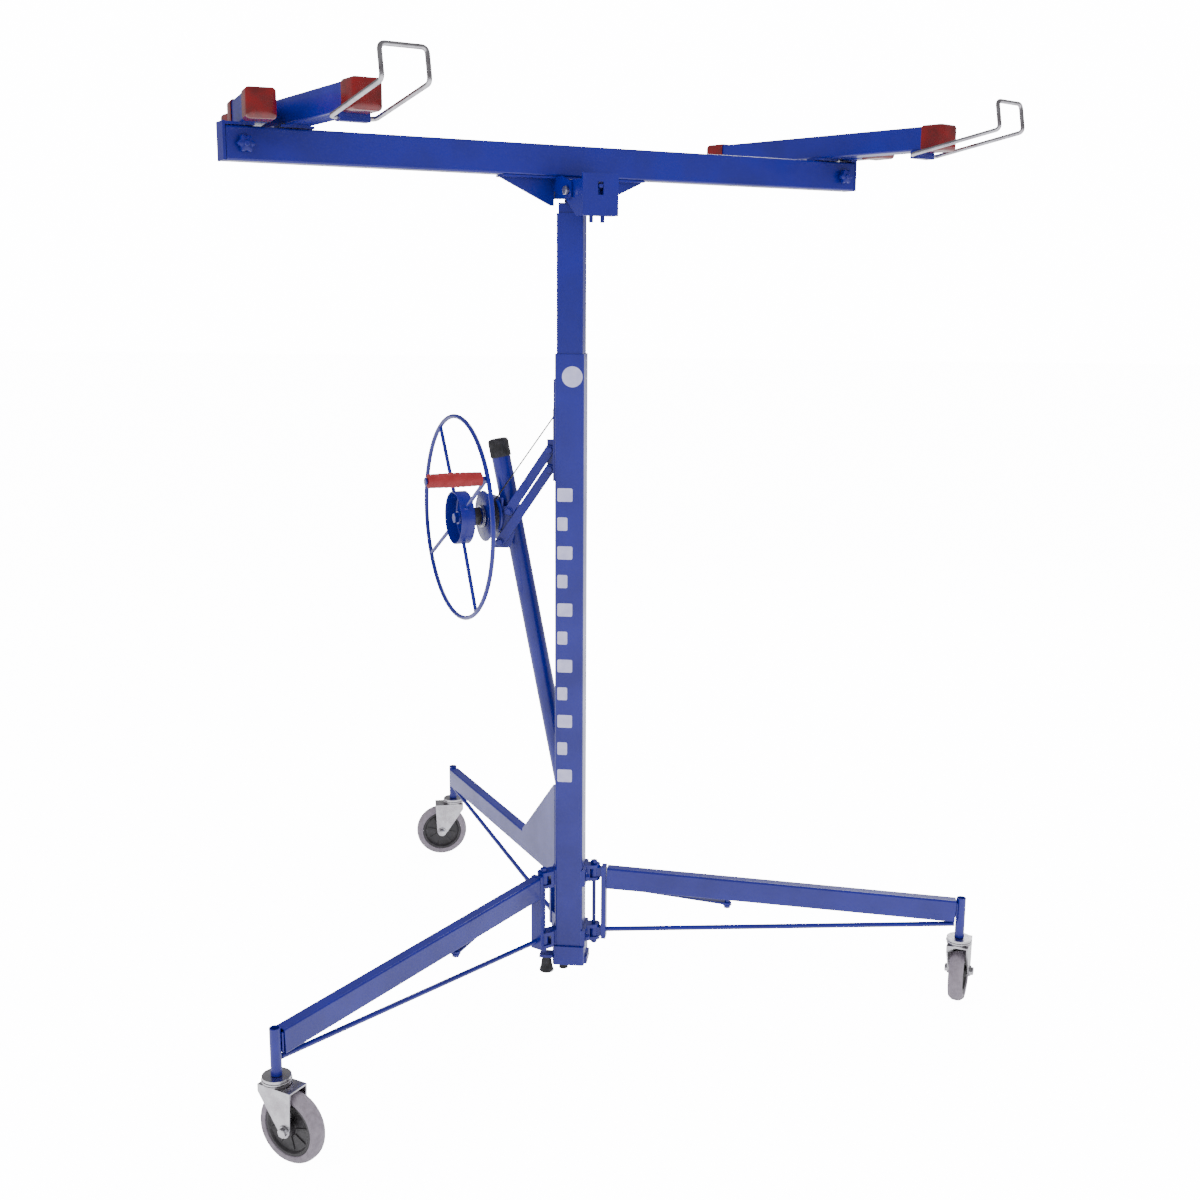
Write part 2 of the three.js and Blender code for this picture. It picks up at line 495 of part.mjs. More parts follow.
// Ears that straddle the head box, a seat under the crossbeam and a triangular wing on each side.
function saddle() {
  const half = HEAD_W / 2 + 1;
  const top = BEAM_Z - GAP;
  const ear = [[-74, 1598], [-50, 1598], [22, 1622], [22, top], [-40, top], [-74, 1626]];
  const wing = plateXZ([[half + 1, 1586], [half + 7, 1586], [150, top - 5], [150, top], [half + 1, top]], -3, 2);
  return cut(join(
    plateYZ(ear, half, half + 4), plateYZ(ear, -half - 4, -half),
    box(-150, 150, -18, 18, top - 3.5, top), wing, wing.clone().rotateZ(Math.PI).translate(0, -1, 0)),
  bar(V(-60, TILT_V, TILT_Z), V(60, TILT_V, TILT_Z), 10.8));
}

// ---- crossbeam, outriggers, arms and hooks --------------------------------------------------------
function crossbeam() {
  const a = V(-CROSS_HALF, 0, BEAM_Z + CROSS_H / 2);
  const b = V(CROSS_HALF, 0, BEAM_Z + CROSS_H / 2);
  return between(rectTube(CROSS_H, CROSS_D, CROSS_WALL, 2 * CROSS_HALF), a, b);
}

function outrigger(side) {
  const s = side === 'left' ? -1 : 1;
  const h = CROSS_H - 2 * CROSS_WALL - 1;
  const d = CROSS_D - 2 * CROSS_WALL - 1;
  const a = V(s * (CROSS_HALF - 330), 0, BEAM_Z + CROSS_H / 2);
  const b = V(s * (CROSS_HALF + 2), 0, BEAM_Z + CROSS_H / 2);
  const tab = CROSS_HALF + 1;
  const teeAt = TEE_U[side];
  const low = Math.min(teeAt, s * (tab + 5));
  const high = Math.max(teeAt, s * (tab + 5));
  const end = box(Math.min(s * tab, s * (tab + 5)), Math.max(s * tab, s * (tab + 5)), -CROSS_D / 2, CROSS_D / 2,
    BEAM_Z, ARM_Z + 2);
  const shelf = box(low, high, -CROSS_D / 2, CROSS_D / 2, ARM_Z - 3.5, ARM_Z + 1);
  const tee = rectTube(ARM_SIZE, ARM_SIZE, 2, 2 * TEE_HALF).rotateX(-Math.PI / 2)
    .translate(0, -TEE_HALF, 0).rotateZ(rad(TEE_TURN[side])).translate(teeAt, 0, ARM_Z + ARM_SIZE / 2);
  return join(between(rectTube(h, d, 2, a.distanceTo(b)), a, b), end, shelf, tee);
}

// A dipped cap closes the tube end at y = 0 and wraps back along +Y.
function endCap() {
  const size = ARM_SIZE + 2 * CAP_WALL;
  const block = extrude(roundedRect(size, size, 7), CAP_DEPTH + 4).rotateX(-Math.PI / 2).translate(0, -4, 0);
  const pocket = box(-ARM_SIZE / 2 - GAP, ARM_SIZE / 2 + GAP, -GAP, CAP_DEPTH + 5,
    -ARM_SIZE / 2 - GAP, ARM_SIZE / 2 + GAP);
  return cut(block, pocket);
}

function capPair(parent, name, half) {
  for (const [end, y, turn] of [['near', -half, 0], ['far', half, 180]]) {
    const at = frameAt(parent, 0, y, ARM_Z + ARM_SIZE / 2, turn);
    piece(at, `${name}_${end}`, endCap(), RED);
  }
}

function armTube() {
  const tube = rectTube(ARM_SIZE, ARM_SIZE, 2, 2 * ARM_HALF).rotateX(-Math.PI / 2)
    .translate(0, -ARM_HALF, ARM_Z + ARM_SIZE / 2);
  const plate = box(-30, 30, -17, 17, ARM_Z - 3.2, ARM_Z + 1);
  const shoe = HOOK_HALF - 12;
  const sleeve = box(-shoe, shoe, -ARM_HALF + 49, -ARM_HALF + 68, ARM_Z - 14, ARM_Z + 1);
  return cut(join(tube, plate, sleeve),
    bar(V(-60, -ARM_HALF + 58, ARM_Z - 8), V(60, -ARM_HALF + 58, ARM_Z - 8), HOOK_WIRE + 0.8, 16));
}

// Wire hook: a cross pin in the arm's sleeve, two legs that rise a little, and an upright loop.
function hook() {
  const r = HOOK_HALF;
  const points = [V(-20, 0, 0), V(-r, 0, 0), V(-r, -HOOK_REACH, 0), V(-r, -HOOK_REACH, HOOK_RISE),
    V(r, -HOOK_REACH, HOOK_RISE), V(r, -HOOK_REACH, 0), V(r, 0, 0), V(20, 0, 0)];
  return wire(points, HOOK_WIRE, 9, 8, 44);
}

// ---- assembly -------------------------------------------------------------------------------------
piece(lift, 'mast_outer', mastOuter(), BLUE);
piece(lift, 'foot_socket', footSocket(), BLUE);
piece(lift, 'rubber_foot', rubberFoot(), RUBBER);
piece(lift, 'hub_upper', hubBlock(HUB_UPPER, [legGusset(), legRoot(...HUB_UPPER)]), BLUE);
piece(lift, 'hub_lower', hubBlock(HUB_LOWER, [legRoot(...HUB_LOWER)]), BLUE);
piece(lift, 'hinge_pin_a', hingePin(PIN_A), BLUE);
piece(lift, 'hinge_pin_b', hingePin(PIN_B), BLUE);
foldingLeg('a', PIN_A, 240, 337, 1);
foldingLeg('b', PIN_B, 0, 75, -1);
fixedLeg(195);

piece(lift, 'post_socket', postSocket(), BLUE);
piece(lift, 'winch_post', winchPost(), BLUE);
piece(lift, 'post_cap', postCap(), RUBBER);
piece(lift, 'mast_bracket', mastBracket(), BLUE);
piece(lift, 'brace_front', brace(BRACES.front), BLUE);
piece(lift, 'brace_rear', brace(BRACES.rear), BLUE);
piece(lift, 'winch_cable', cable(), WIRE_ROPE);
piece(frameAt(lift, SHEAVE.x, SHEAVE.y, SHEAVE.z, 0, 'sheave_spin'), 'cable_sheave', sheave(), CORE);

const winchBase = frameAt(lift, ...WHEEL_CENTRE, WINCH_YAW);
piece(winchBase, 'winch_frame', winchFrame(), BLUE);
const rotor = frameAt(winchBase, 0, 0, 0, 0, 'winch_turn');
piece(rotor, 'winch_wheel', winchWheel(), BLUE);
piece(rotor, 'winch_drum', winchDrum(), BLUE);
const gripAt = frameAt(rotor, -11, -(RIM_RADIUS - 5) * Math.cos(rad(GRIP_ANGLE)),
  (RIM_RADIUS - 5) * Math.sin(rad(GRIP_ANGLE)), 0, 'grip_spin');
piece(gripAt, 'winch_grip', grip(), GRIP_RED);

const middle = frameAt(lift, 0, 0, MIDDLE_TOP - MIDDLE_LENGTH, 0, 'mast_middle_slide');
piece(middle, 'mast_middle', rectTube(MIDDLE_W, MIDDLE_D, 2, MIDDLE_LENGTH), BLUE);
const inner = frameAt(lift, 0, 0, INNER_TOP - INNER_LENGTH, 0, 'mast_inner_slide');
const innerTop = join(rectTube(INNER_W, INNER_D, 2, INNER_LENGTH),
  box(-INNER_W / 2 + 1, INNER_W / 2 - 1, -INNER_D / 2 + 1, INNER_D / 2 - 1, INNER_LENGTH - 4, INNER_LENGTH - 1));
piece(inner, 'mast_inner', innerTop, BLUE);

const swivel = frameAt(lift, 0, 0, 0, CRADLE_YAW, 'cradle_swivel');
piece(swivel, 'head_box', headBox(), BLUE);
piece(frameAt(swivel, 0, 0, 0, 0, 'latch_slide'), 'tilt_latch', tiltLatch(), BLUE);
piece(swivel, 'tilt_pin', tiltPin(), ZINC);
const tilt = frameAt(swivel, 0, TILT_V, TILT_Z, 0, 'cradle_tilt');
const cradle = frameAt(tilt, 0, -TILT_V, -TILT_Z);
piece(cradle, 'crossbeam', crossbeam(), BLUE);
piece(cradle, 'cradle_saddle', saddle(), BLUE);
for (const side of ['left', 'right']) {
  const out = frameAt(cradle, 0, 0, 0, 0, `outrigger_${side}_slide`);
  piece(out, `outrigger_${side}`, outrigger(side), BLUE);
  capPair(frameAt(out, TEE_U[side], 0, 0, TEE_TURN[side]), `tee_cap_${side}`, TEE_HALF);
  const arm = frameAt(cradle, ARM_PIVOT[side], 0, 0, ARM_TURN[side], `arm_${side}_turn`);
  piece(arm, `arm_${side}`, armTube(), BLUE);
  capPair(arm, `arm_cap_${side}`, ARM_HALF);
  const pivot = frameAt(arm, 0, -ARM_HALF + 58, ARM_Z - 8, 0, `hook_${side}_fold`);
  const tipped = new THREE.Group();
  tipped.rotation.x = -rad(HOOK_TILT);
  pivot.add(tipped);
  piece(tipped, `hook_${side}`, hook(), ZINC);
}

// The origin is the middle of the whole lift's footprint, on the floor.
lift.updateMatrixWorld(true);
const extent = new THREE.Box3().setFromObject(lift, true);
lift.position.set(-(extent.min.x + extent.max.x) / 2, -(extent.min.y + extent.max.y) / 2, 0);
export default lift;
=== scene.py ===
"""Drywall panel lift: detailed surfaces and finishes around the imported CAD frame."""

import json
import math

import bmesh
import bpy
import numpy as np
from bpy.props import FloatProperty, FloatVectorProperty, IntProperty, PointerProperty
from mathutils import Matrix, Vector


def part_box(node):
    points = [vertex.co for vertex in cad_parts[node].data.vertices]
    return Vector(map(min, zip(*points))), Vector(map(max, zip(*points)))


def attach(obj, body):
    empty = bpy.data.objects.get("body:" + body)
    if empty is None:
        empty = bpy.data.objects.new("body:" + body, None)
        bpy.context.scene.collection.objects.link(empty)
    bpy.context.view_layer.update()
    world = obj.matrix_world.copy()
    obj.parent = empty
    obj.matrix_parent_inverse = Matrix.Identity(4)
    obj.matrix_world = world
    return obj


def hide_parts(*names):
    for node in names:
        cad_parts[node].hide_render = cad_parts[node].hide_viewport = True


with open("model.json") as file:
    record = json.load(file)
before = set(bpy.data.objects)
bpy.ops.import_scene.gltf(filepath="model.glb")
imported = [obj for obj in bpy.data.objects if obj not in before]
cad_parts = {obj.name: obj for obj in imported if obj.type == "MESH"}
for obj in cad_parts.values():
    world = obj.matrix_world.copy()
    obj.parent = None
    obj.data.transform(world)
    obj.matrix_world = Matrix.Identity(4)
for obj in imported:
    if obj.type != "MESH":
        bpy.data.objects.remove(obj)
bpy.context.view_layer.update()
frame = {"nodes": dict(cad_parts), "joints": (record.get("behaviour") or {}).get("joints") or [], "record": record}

bl_info = {
    "name": "Drywall Panel Lift",
    "version": (1, 0, 0),
    "blender": (4, 5, 0),
    "location": "View3D > Sidebar > Panel Lift",
    "description": "Builds the finished surfaces of a drywall panel lift round its mechanical frame",
    "category": "Add Mesh",
}

MM = 0.001
UP = np.array((0.0, 0.0, 1.0))
JOINTS = {joint["name"]: joint for joint in frame["joints"]}
NODES = frame["nodes"]
BODY_OF = {n: body for body, ns in frame["record"]["behaviour"]["bodies"].items() for n in ns}


# ---- places -----------------------------------------------------------------------------------
def unit(v):
    """v scaled to length one."""
    v = np.asarray(v, float)
    return v / np.linalg.norm(v)


def pivot(name):
    """Where a joint turns, in metres."""
    return np.array(JOINTS[name]["pos_m"])


def axis_of(name):
    """The direction a joint turns about or slides along."""
    return unit(JOINTS[name]["axis"])


class Place:
    """An origin with three square directions. Points given in millimetres come out in metres."""

    def __init__(self, origin, x, z=UP):
        self.origin = np.asarray(origin, float)
        self.z = unit(z)
        self.y = unit(np.cross(self.z, x))
        self.x = np.cross(self.y, self.z)

    def __call__(self, points):
        p = np.asarray(points, float) * MM
        return self.origin + p[..., 0:1] * self.x + p[..., 1:2] * self.y + p[..., 2:3] * self.z


MAST_LOW, MAST_HIGH = (np.array(corner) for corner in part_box("mast_outer"))
MAST = Place(((MAST_LOW[0] + MAST_HIGH[0]) / 2, (MAST_LOW[1] + MAST_HIGH[1]) / 2, 0), (1, 0, 0))
CRADLE = Place(MAST.origin, axis_of("cradle_tilt"))


# ---- meshes -----------------------------------------------------------------------------------
def add_mesh(name, verts, faces, material, body, slot, replaces=(), crease=40):
    """Puts points and faces into a new object at the origin, faces turned outwards, edges sharper
    than the crease angle (degrees) kept hard, riding on a body."""
    mesh = bpy.data.meshes.new(name)
    mesh.from_pydata(np.asarray(verts).reshape(-1, 3).tolist(), [], [list(map(int, f)) for f in faces])
    finish_mesh(mesh, crease)
    return place_piece(name, mesh, material, body, replaces)


def finish_mesh(mesh, crease):
    """Merges doubles, turns the faces outwards, smooths them and marks hard edges."""
    bm = bmesh.new()
    bm.from_mesh(mesh)
    bmesh.ops.remove_doubles(bm, verts=bm.verts, dist=1e-6)
    bmesh.ops.recalc_face_normals(bm, faces=bm.faces)
    limit = math.radians(crease)
    for face in bm.faces:
        face.smooth = True
    for edge in bm.edges:
        edge.smooth = not edge.is_manifold or edge.calc_face_angle(0) < limit
    bm.to_mesh(mesh)
    bm.free()


def place_piece(name, mesh, material, body, replaces=()):
    """Links the object, gives it its finish and lets it ride."""
    obj = bpy.data.objects.new(name, mesh)
    bpy.context.scene.collection.objects.link(obj)
    mesh.materials.clear()
    mesh.materials.append(material)
    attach(obj, body)
    if replaces:
        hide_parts(*replaces)
    return obj


def grid_faces(rows, columns, wrap_rows, wrap_columns):
    """Quads of a rows x columns grid of points, joined round where it wraps."""
    r = np.arange(rows if wrap_rows else rows - 1)
    c = np.arange(columns if wrap_columns else columns - 1)
    a, b = np.meshgrid(r, c, indexing="ij")
    a2, b2 = (a + 1) % rows, (b + 1) % columns
    quads = np.stack([a * columns + b, a * columns + b2, a2 * columns + b2, a2 * columns + b], -1)
    return quads.reshape(-1, 4)


def merge(*shapes):
    """Several (points, faces) shapes as one."""
    verts, faces, base = [], [], 0
    for points, quads in shapes:
        points = np.asarray(points).reshape(-1, 3)
        verts.append(points)
        faces += [[int(i) + base for i in f] for f in quads]
        base += len(points)
    return np.concatenate(verts), faces


def turned(place, profile, sides=48, along="z", start=(0, 0, 0)):
    """Surface of revolution: each (radius, height) of the profile goes once round the chosen local
    axis through start. A profile that ends on the axis closes there, any other closes on itself."""
    p = np.asarray(profile, float)
    closed = np.allclose(p[0], p[-1])
    if closed:
        p = p[:-1]
    t = np.linspace(0, 2 * np.pi, sides, endpoint=False)
    r, h = p[:, 0][:, None], np.repeat(p[:, 1][:, None], sides, 1)
    u, v = r * np.cos(t), r * np.sin(t)
    order = {"z": (u, v, h), "x": (h, u, v), "y": (v, h, u)}[along]
    points = np.stack(order, -1) + np.asarray(start, float)
    return place(points).reshape(-1, 3), grid_faces(len(p), sides, closed, True)


def rounded_path(corners, bend, steps=8):
    """Points of a bent wire: straight runs, and at each inner corner a quadratic bend that starts
    and ends the bend length from it."""
    c = np.asarray(corners, float)
    out = [c[:1]]
    for before, corner, after in zip(c[:-2], c[1:-1], c[2:]):
        a = corner + unit(before - corner) * bend
        b = corner + unit(after - corner) * bend
        t = np.linspace(0, 1, steps)[:, None]
        out.append((1 - t) ** 2 * a + 2 * t * (1 - t) * corner + t**2 * b)
    out.append(c[-1:])
    return np.concatenate(out)


def swept(place, path, radius, sides=16, closed=False, dome=True):
    """A round section carried along a path: each station's ring lies square to the path, and the
    ring's directions are passed on from one station to the next so that it doesn't twist."""
    path = np.asarray(path, float)
    if closed:
        tangent = np.roll(path, -1, 0) - np.roll(path, 1, 0)
    else:
        tangent = np.gradient(path, axis=0)
    tangent /= np.linalg.norm(tangent, axis=1, keepdims=True)
    side = np.empty_like(path)
    guess = np.cross(tangent[0], (0.31, 0.52, 0.8))
    for i, t in enumerate(tangent):
        guess = unit(guess - t * guess.dot(t))
        side[i] = guess
    other = np.cross(tangent, side)
    radii = np.full(len(path), float(radius))
    if not closed and dome:
        ends = np.array((0.02, 0.6, 0.93))
        lift = np.array((0.0, 0.12, 0.35)) * radius
        path = np.concatenate([path[0] + tangent[0] * lift[:, None], path[1:-1],
                               path[-1] - tangent[-1] * lift[::-1, None]])
        radii = np.concatenate([ends * radius, radii[1:-1], ends[::-1] * radius])
        side = np.concatenate([side[:1].repeat(3, 0), side[1:-1], side[-1:].repeat(3, 0)])
        other = np.concatenate([other[:1].repeat(3, 0), other[1:-1], other[-1:].repeat(3, 0)])
    a = np.linspace(0, 2 * np.pi, sides, endpoint=False)
    ring = np.cos(a)[None, :, None] * side[:, None] + np.sin(a)[None, :, None] * other[:, None]
    points = path[:, None] + ring * radii[:, None, None]
    faces = grid_faces(len(path), sides, closed, True).tolist()
    if not closed:
        faces += [list(range(sides)), list(range((len(path) - 1) * sides, len(path) * sides))]
    return place(points).reshape(-1, 3), faces


def lofted(place, loops):
    """A skin through a stack of equal loops of points, its two ends closed with one face each."""
    loops = np.asarray(loops, float)
    n, m = loops.shape[:2]
    faces = grid_faces(n, m, False, True).tolist()
    faces += [list(range(m)), list(range((n - 1) * m, n * m))]
    return place(loops).reshape(-1, 3), faces


def squircle(width, height, corner, steps=8):
    """Points round a rectangle whose corners are quarter circles."""
    t = np.linspace(0, np.pi / 2, steps)
    centres = np.array(((1, 1), (-1, 1), (-1, -1), (1, -1))) * ((width / 2 - corner), (height / 2 - corner))
    loops = [centre + corner * np.stack([np.cos(t + k * np.pi / 2), np.sin(t + k * np.pi / 2)], -1)
             for k, centre in enumerate(centres)]
    return np.concatenate(loops)


def hexagon_bolt(place, at, normal, across, thick, shank=0.0, washer=True):
    """A bolt head: six flats with a chamfered top, on a washer, its shank pointing back."""
    normal = unit(normal)
    side = np.cross(normal, (0.2, 0.3, 0.93) if abs(normal[2]) < 0.9 else (1.0, 0.0, 0.0))
    local = Place(place(np.asarray(at, float)), place.x * side[0] + place.y * side[1] + place.z * side[2],
                  place.x * normal[0] + place.y * normal[1] + place.z * normal[2])
    r = across / 2 / math.cos(math.pi / 6)
    base = across * 0.16 if washer else 0.0
    shapes = [turned(local, [(0, base), (r, base), (r, base + thick * 0.85), (r * 0.86, base + thick),
                             (0, base + thick)], 6)]
    if washer:
        shapes.append(turned(local, [(0, 0), (r * 1.25, 0), (r * 1.3, base * 0.4), (r * 1.22, base),
                                     (0, base)], 32))
    if shank:
        shapes.append(turned(local, [(0, -shank), (r * 0.5, -shank), (r * 0.52, 0), (0, 0)], 20))
    return merge(*shapes)


def softened(node, radius, material, crease=35, segments=2):
    """A clean copy of a CAD node with its long edges rounded to the given radius in millimetres."""
    source = NODES[node]
    mesh = source.data.copy()
    bm = bmesh.new()
    bm.from_mesh(mesh)
    bmesh.ops.remove_doubles(bm, verts=bm.verts, dist=2e-5)
    bmesh.ops.dissolve_limit(bm, angle_limit=math.radians(1.0), verts=bm.verts, edges=bm.edges)
    for face in bm.faces:
        face.smooth = True
    for edge in bm.edges:
        edge.smooth = not edge.is_manifold or edge.calc_face_angle(0) < math.radians(crease)
    bm.to_mesh(mesh)
    bm.free()
    obj = place_piece(node + "_finish", mesh, material, BODY_OF[node], (node,))
    if radius:
        bevel = obj.modifiers.new("rounded_edges", "BEVEL")
        bevel.width = radius * MM
        bevel.segments = segments
        bevel.limit_method = "ANGLE"
        bevel.angle_limit = math.radians(crease)
        bevel.use_clamp_overlap = True
        bevel.harden_normals = False
        normals = obj.modifiers.new("even_shading", "WEIGHTED_NORMAL")
        normals.keep_sharp = True
    return obj


# ---- materials --------------------------------------------------------------------------------
def linear(colour):
    """An sRGB hex colour as linear RGBA."""
    c = [int(colour[i:i + 2], 16) / 255 for i in (1, 3, 5)]
    return (*[v / 12.92 if v <= 0.04045 else ((v + 0.055) / 1.055) ** 2.4 for v in c], 1.0)


def add(tree, kind, links=(), **settings):
    """Adds a node, sets its inputs and attributes, and joins (input, socket) links to it."""
    made = tree.nodes.new("ShaderNode" + kind)
    for key, value in settings.items():
        name = key.replace("_", " ")
        if hasattr(made, key):
            setattr(made, key, value)
        else:
            socket = next(s for s in made.inputs if s.name.lower() == name.lower())
            socket.default_value = value
    for name, socket in dict(links).items():
        target = made.inputs[name] if isinstance(name, int) else next(
            s for s in made.inputs if s.name.lower() == name.lower().replace("_", " ") and s.enabled)
        tree.links.new(socket, target)
    return made


def start_material(name, **shader):
    """A new material with its Principled shader and the object's own coordinates."""
    material = bpy.data.materials.new(name)
    material.use_nodes = True
    tree = material.node_tree
    principled = tree.nodes["Principled BSDF"]
    for key, value in shader.items():
        principled.inputs[key.replace("_", " ")].default_value = value
    place = add(tree, "TexCoord").outputs["Object"]
    return material, tree, principled, place


def mix_colour(tree, factor, low, high):
    """Blends two colours (hex or sockets) by a factor socket."""
    made = add(tree, "Mix", data_type="RGBA")
    tree.links.new(factor, made.inputs["Factor"])
    for socket, value in ((made.inputs[6], low), (made.inputs[7], high)):
        if isinstance(value, str):
            socket.default_value = linear(value)
        else:
            tree.links.new(value, socket)
    return made.outputs[2]


def noise(tree, place, grain_mm, detail=3.0, roughness=0.55):
    """Noise whose grains are about grain_mm across."""
    return add(tree, "TexNoise", {"Vector": place}, Scale=1000.0 / grain_mm, Detail=detail,
               Roughness=roughness).outputs["Fac"]


def ramp(tree, value, low, high, out_low=0.0, out_high=1.0):
    """Maps a value from low..high to out_low..out_high, held at both ends."""
    made = add(tree, "MapRange", {"Value": value})
    made.inputs["From Min"].default_value = low
    made.inputs["From Max"].default_value = high
    made.inputs["To Min"].default_value = out_low
    made.inputs["To Max"].default_value = out_high
    return made.outputs["Result"]


def bump(tree, principled, height, depth_mm, strength=1.0, base=None):
    """Joins a height to the shader as a bump of the given depth."""
    links = {"Height": height}
    if base is not None:
        links["Normal"] = base
    made = add(tree, "Bump", links, Strength=strength, Distance=depth_mm * MM)
    tree.links.new(made.outputs["Normal"], principled.inputs["Normal"])
    return made.outputs["Normal"]


def painted_edge_highlight_mask(tree, radius_mm):
    """One near an edge, nought on open faces, from how far the rounded normal leans from the true one: the mask of
    a painted edge highlight.
    """
    soft = add(tree, "Bevel", Radius=radius_mm * MM).outputs["Normal"]
    true = add(tree, "NewGeometry").outputs["Normal"]
    made = add(tree, "VectorMath", operation="DOT_PRODUCT")
    tree.links.new(soft, made.inputs[0])
    tree.links.new(true, made.inputs[1])
    return ramp(tree, made.outputs["Value"], 0.995, 0.86)


def blue_powder_coat(colour):
    """Gloss polyester powder coat on steel: baked film with a fine orange peel about 1.5 mm across, a painted
    highlight in pale patches along sharp edges, with faint handling dust."""
    material, tree, shader, place = start_material("gloss_blue_powder_coat", Roughness=0.34, IOR=1.45,
                                                   Coat_Weight=0.22, Coat_Roughness=0.1)
    cloud = noise(tree, place, 90, 3)
    speck = noise(tree, place, 3.2, 4, 0.7)
    base = mix_colour(tree, ramp(tree, cloud, 0.35, 0.7), colour, "#0a0b68")
    dusty = mix_colour(tree, ramp(tree, speck, 0.6, 0.8, 0.0, 0.12), base, "#20288c")
    # Paler blue #343c9c in noisy patches along the sharp edges is a painted highlight on the edges.
    painted_edge_highlight = add(tree, "Math", operation="MULTIPLY")
    tree.links.new(painted_edge_highlight_mask(tree, 0.9), painted_edge_highlight.inputs[0])
    tree.links.new(ramp(tree, noise(tree, place, 5, 5, 0.65), 0.42, 0.68, 0.05, 0.6), painted_edge_highlight.inputs[1])
    tree.links.new(mix_colour(tree, painted_edge_highlight.outputs[0], dusty, "#343c9c"), shader.inputs["Base Color"])
    tree.links.new(ramp(tree, cloud, 0.3, 0.75, 0.28, 0.4), shader.inputs["Roughness"])
    bump(tree, shader, noise(tree, place, 1.6, 2), 0.05, 0.35)
    return material


def dipped_vinyl(colour):
    """Plastisol dip: soft glossy skin, slightly uneven where it ran, a few darker drips."""
    material, tree, shader, place = start_material("dipped_red_vinyl", Roughness=0.22, IOR=1.53,
                                                   Coat_Weight=0.35, Coat_Roughness=0.12)
    shade = noise(tree, place, 22, 3)
    tree.links.new(mix_colour(tree, ramp(tree, shade, 0.35, 0.7), colour, "#4c0608"),
                   shader.inputs["Base Color"])
    tree.links.new(ramp(tree, shade, 0.3, 0.7, 0.18, 0.34), shader.inputs["Roughness"])
    bump(tree, shader, noise(tree, place, 12, 2), 0.5, 0.5)
    return material


def soft_grip(colour):
    """Moulded vinyl grip: matte skin with a fine stipple under 1 mm and rubbed, paler high spots."""
    material, tree, shader, place = start_material("moulded_red_grip", Roughness=0.62, IOR=1.5)
    tree.links.new(mix_colour(tree, ramp(tree, noise(tree, place, 14, 4), 0.4, 0.75), colour, "#8e1f24"),
                   shader.inputs["Base Color"])
    tree.links.new(ramp(tree, noise(tree, place, 9, 2), 0.3, 0.7, 0.5, 0.7), shader.inputs["Roughness"])
    bump(tree, shader, noise(tree, place, 0.9, 1), 0.12, 0.6)
    return material


def black_rubber(colour):
    """Moulded black rubber: charcoal, matte, with a light bloom of dust and a fine mould texture."""
    material, tree, shader, place = start_material("moulded_black_rubber", Roughness=0.72, IOR=1.52)
    tree.links.new(mix_colour(tree, ramp(tree, noise(tree, place, 11, 4), 0.45, 0.8), colour, "#34333a"),
                   shader.inputs["Base Color"])
    tree.links.new(ramp(tree, noise(tree, place, 7, 2), 0.3, 0.7, 0.6, 0.82), shader.inputs["Roughness"])
    bump(tree, shader, noise(tree, place, 0.8, 2), 0.1, 0.5)
    return material


def wheel_tread(colour):
    """Thermoplastic rubber tread: satin mauve grey, scuffed paler and picking up floor dust."""
    material, tree, shader, place = start_material("grey_tpr_tread", Roughness=0.5, IOR=1.5)
    shade = mix_colour(tree, ramp(tree, noise(tree, place, 10, 4), 0.4, 0.72), colour, "#6b636d")
    scuff = ramp(tree, noise(tree, place, 2.2, 4, 0.75), 0.58, 0.75, 0.0, 0.4)
    tree.links.new(mix_colour(tree, scuff, shade, "#958d97"), shader.inputs["Base Color"])
    tree.links.new(ramp(tree, noise(tree, place, 6, 3), 0.3, 0.7, 0.42, 0.62), shader.inputs["Roughness"])
    bump(tree, shader, noise(tree, place, 1.1, 3), 0.12, 0.5)
    return material


def wheel_nylon(colour):
    """Moulded nylon core: near-black, low sheen, with a faint flow pattern."""
    material, tree, shader, place = start_material("moulded_black_nylon", Roughness=0.42, IOR=1.53)
    tree.links.new(mix_colour(tree, ramp(tree, noise(tree, place, 16, 3), 0.4, 0.75), colour, "#2f2c30"),
                   shader.inputs["Base Color"])
    tree.links.new(ramp(tree, noise(tree, place, 9, 2), 0.3, 0.7, 0.34, 0.5), shader.inputs["Roughness"])
    bump(tree, shader, noise(tree, place, 1.4, 2), 0.06, 0.4)
    return material


def zinc_plate(colour):
    """Bright zinc plating on pressed steel: cool silver with a faint passivate tint and fine
    drawing lines about 0.5 mm apart."""
    material, tree, shader, place = start_material("bright_zinc_plate", Metallic=1.0, Roughness=0.26)
    tint = mix_colour(tree, ramp(tree, noise(tree, place, 26, 3), 0.4, 0.7), colour, "#a9a3a9")
    tree.links.new(mix_colour(tree, ramp(tree, noise(tree, place, 3, 4), 0.6, 0.8, 0.0, 0.15), tint,
                              "#84838a"),
                   shader.inputs["Base Color"])
    tree.links.new(ramp(tree, noise(tree, place, 7, 4), 0.3, 0.72, 0.2, 0.42), shader.inputs["Roughness"])
    bump(tree, shader, noise(tree, place, 0.7, 3), 0.03, 0.12)
    return material


def wire_rope(colour):
    """Galvanised 7 x 19 steel rope: strands laid at an angle, drawn as diagonal bands 1.6 mm apart,
    coarser than the real lay so that they show."""
    material, tree, shader, place = start_material("galvanised_wire_rope", Metallic=1.0, Roughness=0.38)
    lay = add(tree, "TexWave", {"Vector": place}, bands_direction="DIAGONAL", Scale=620.0, Distortion=1.5)
    strand = lay.outputs["Fac"]
    tree.links.new(mix_colour(tree, strand, "#3d3c40", colour), shader.inputs["Base Color"])
    bump(tree, shader, strand, 0.4, 0.8)
    return material


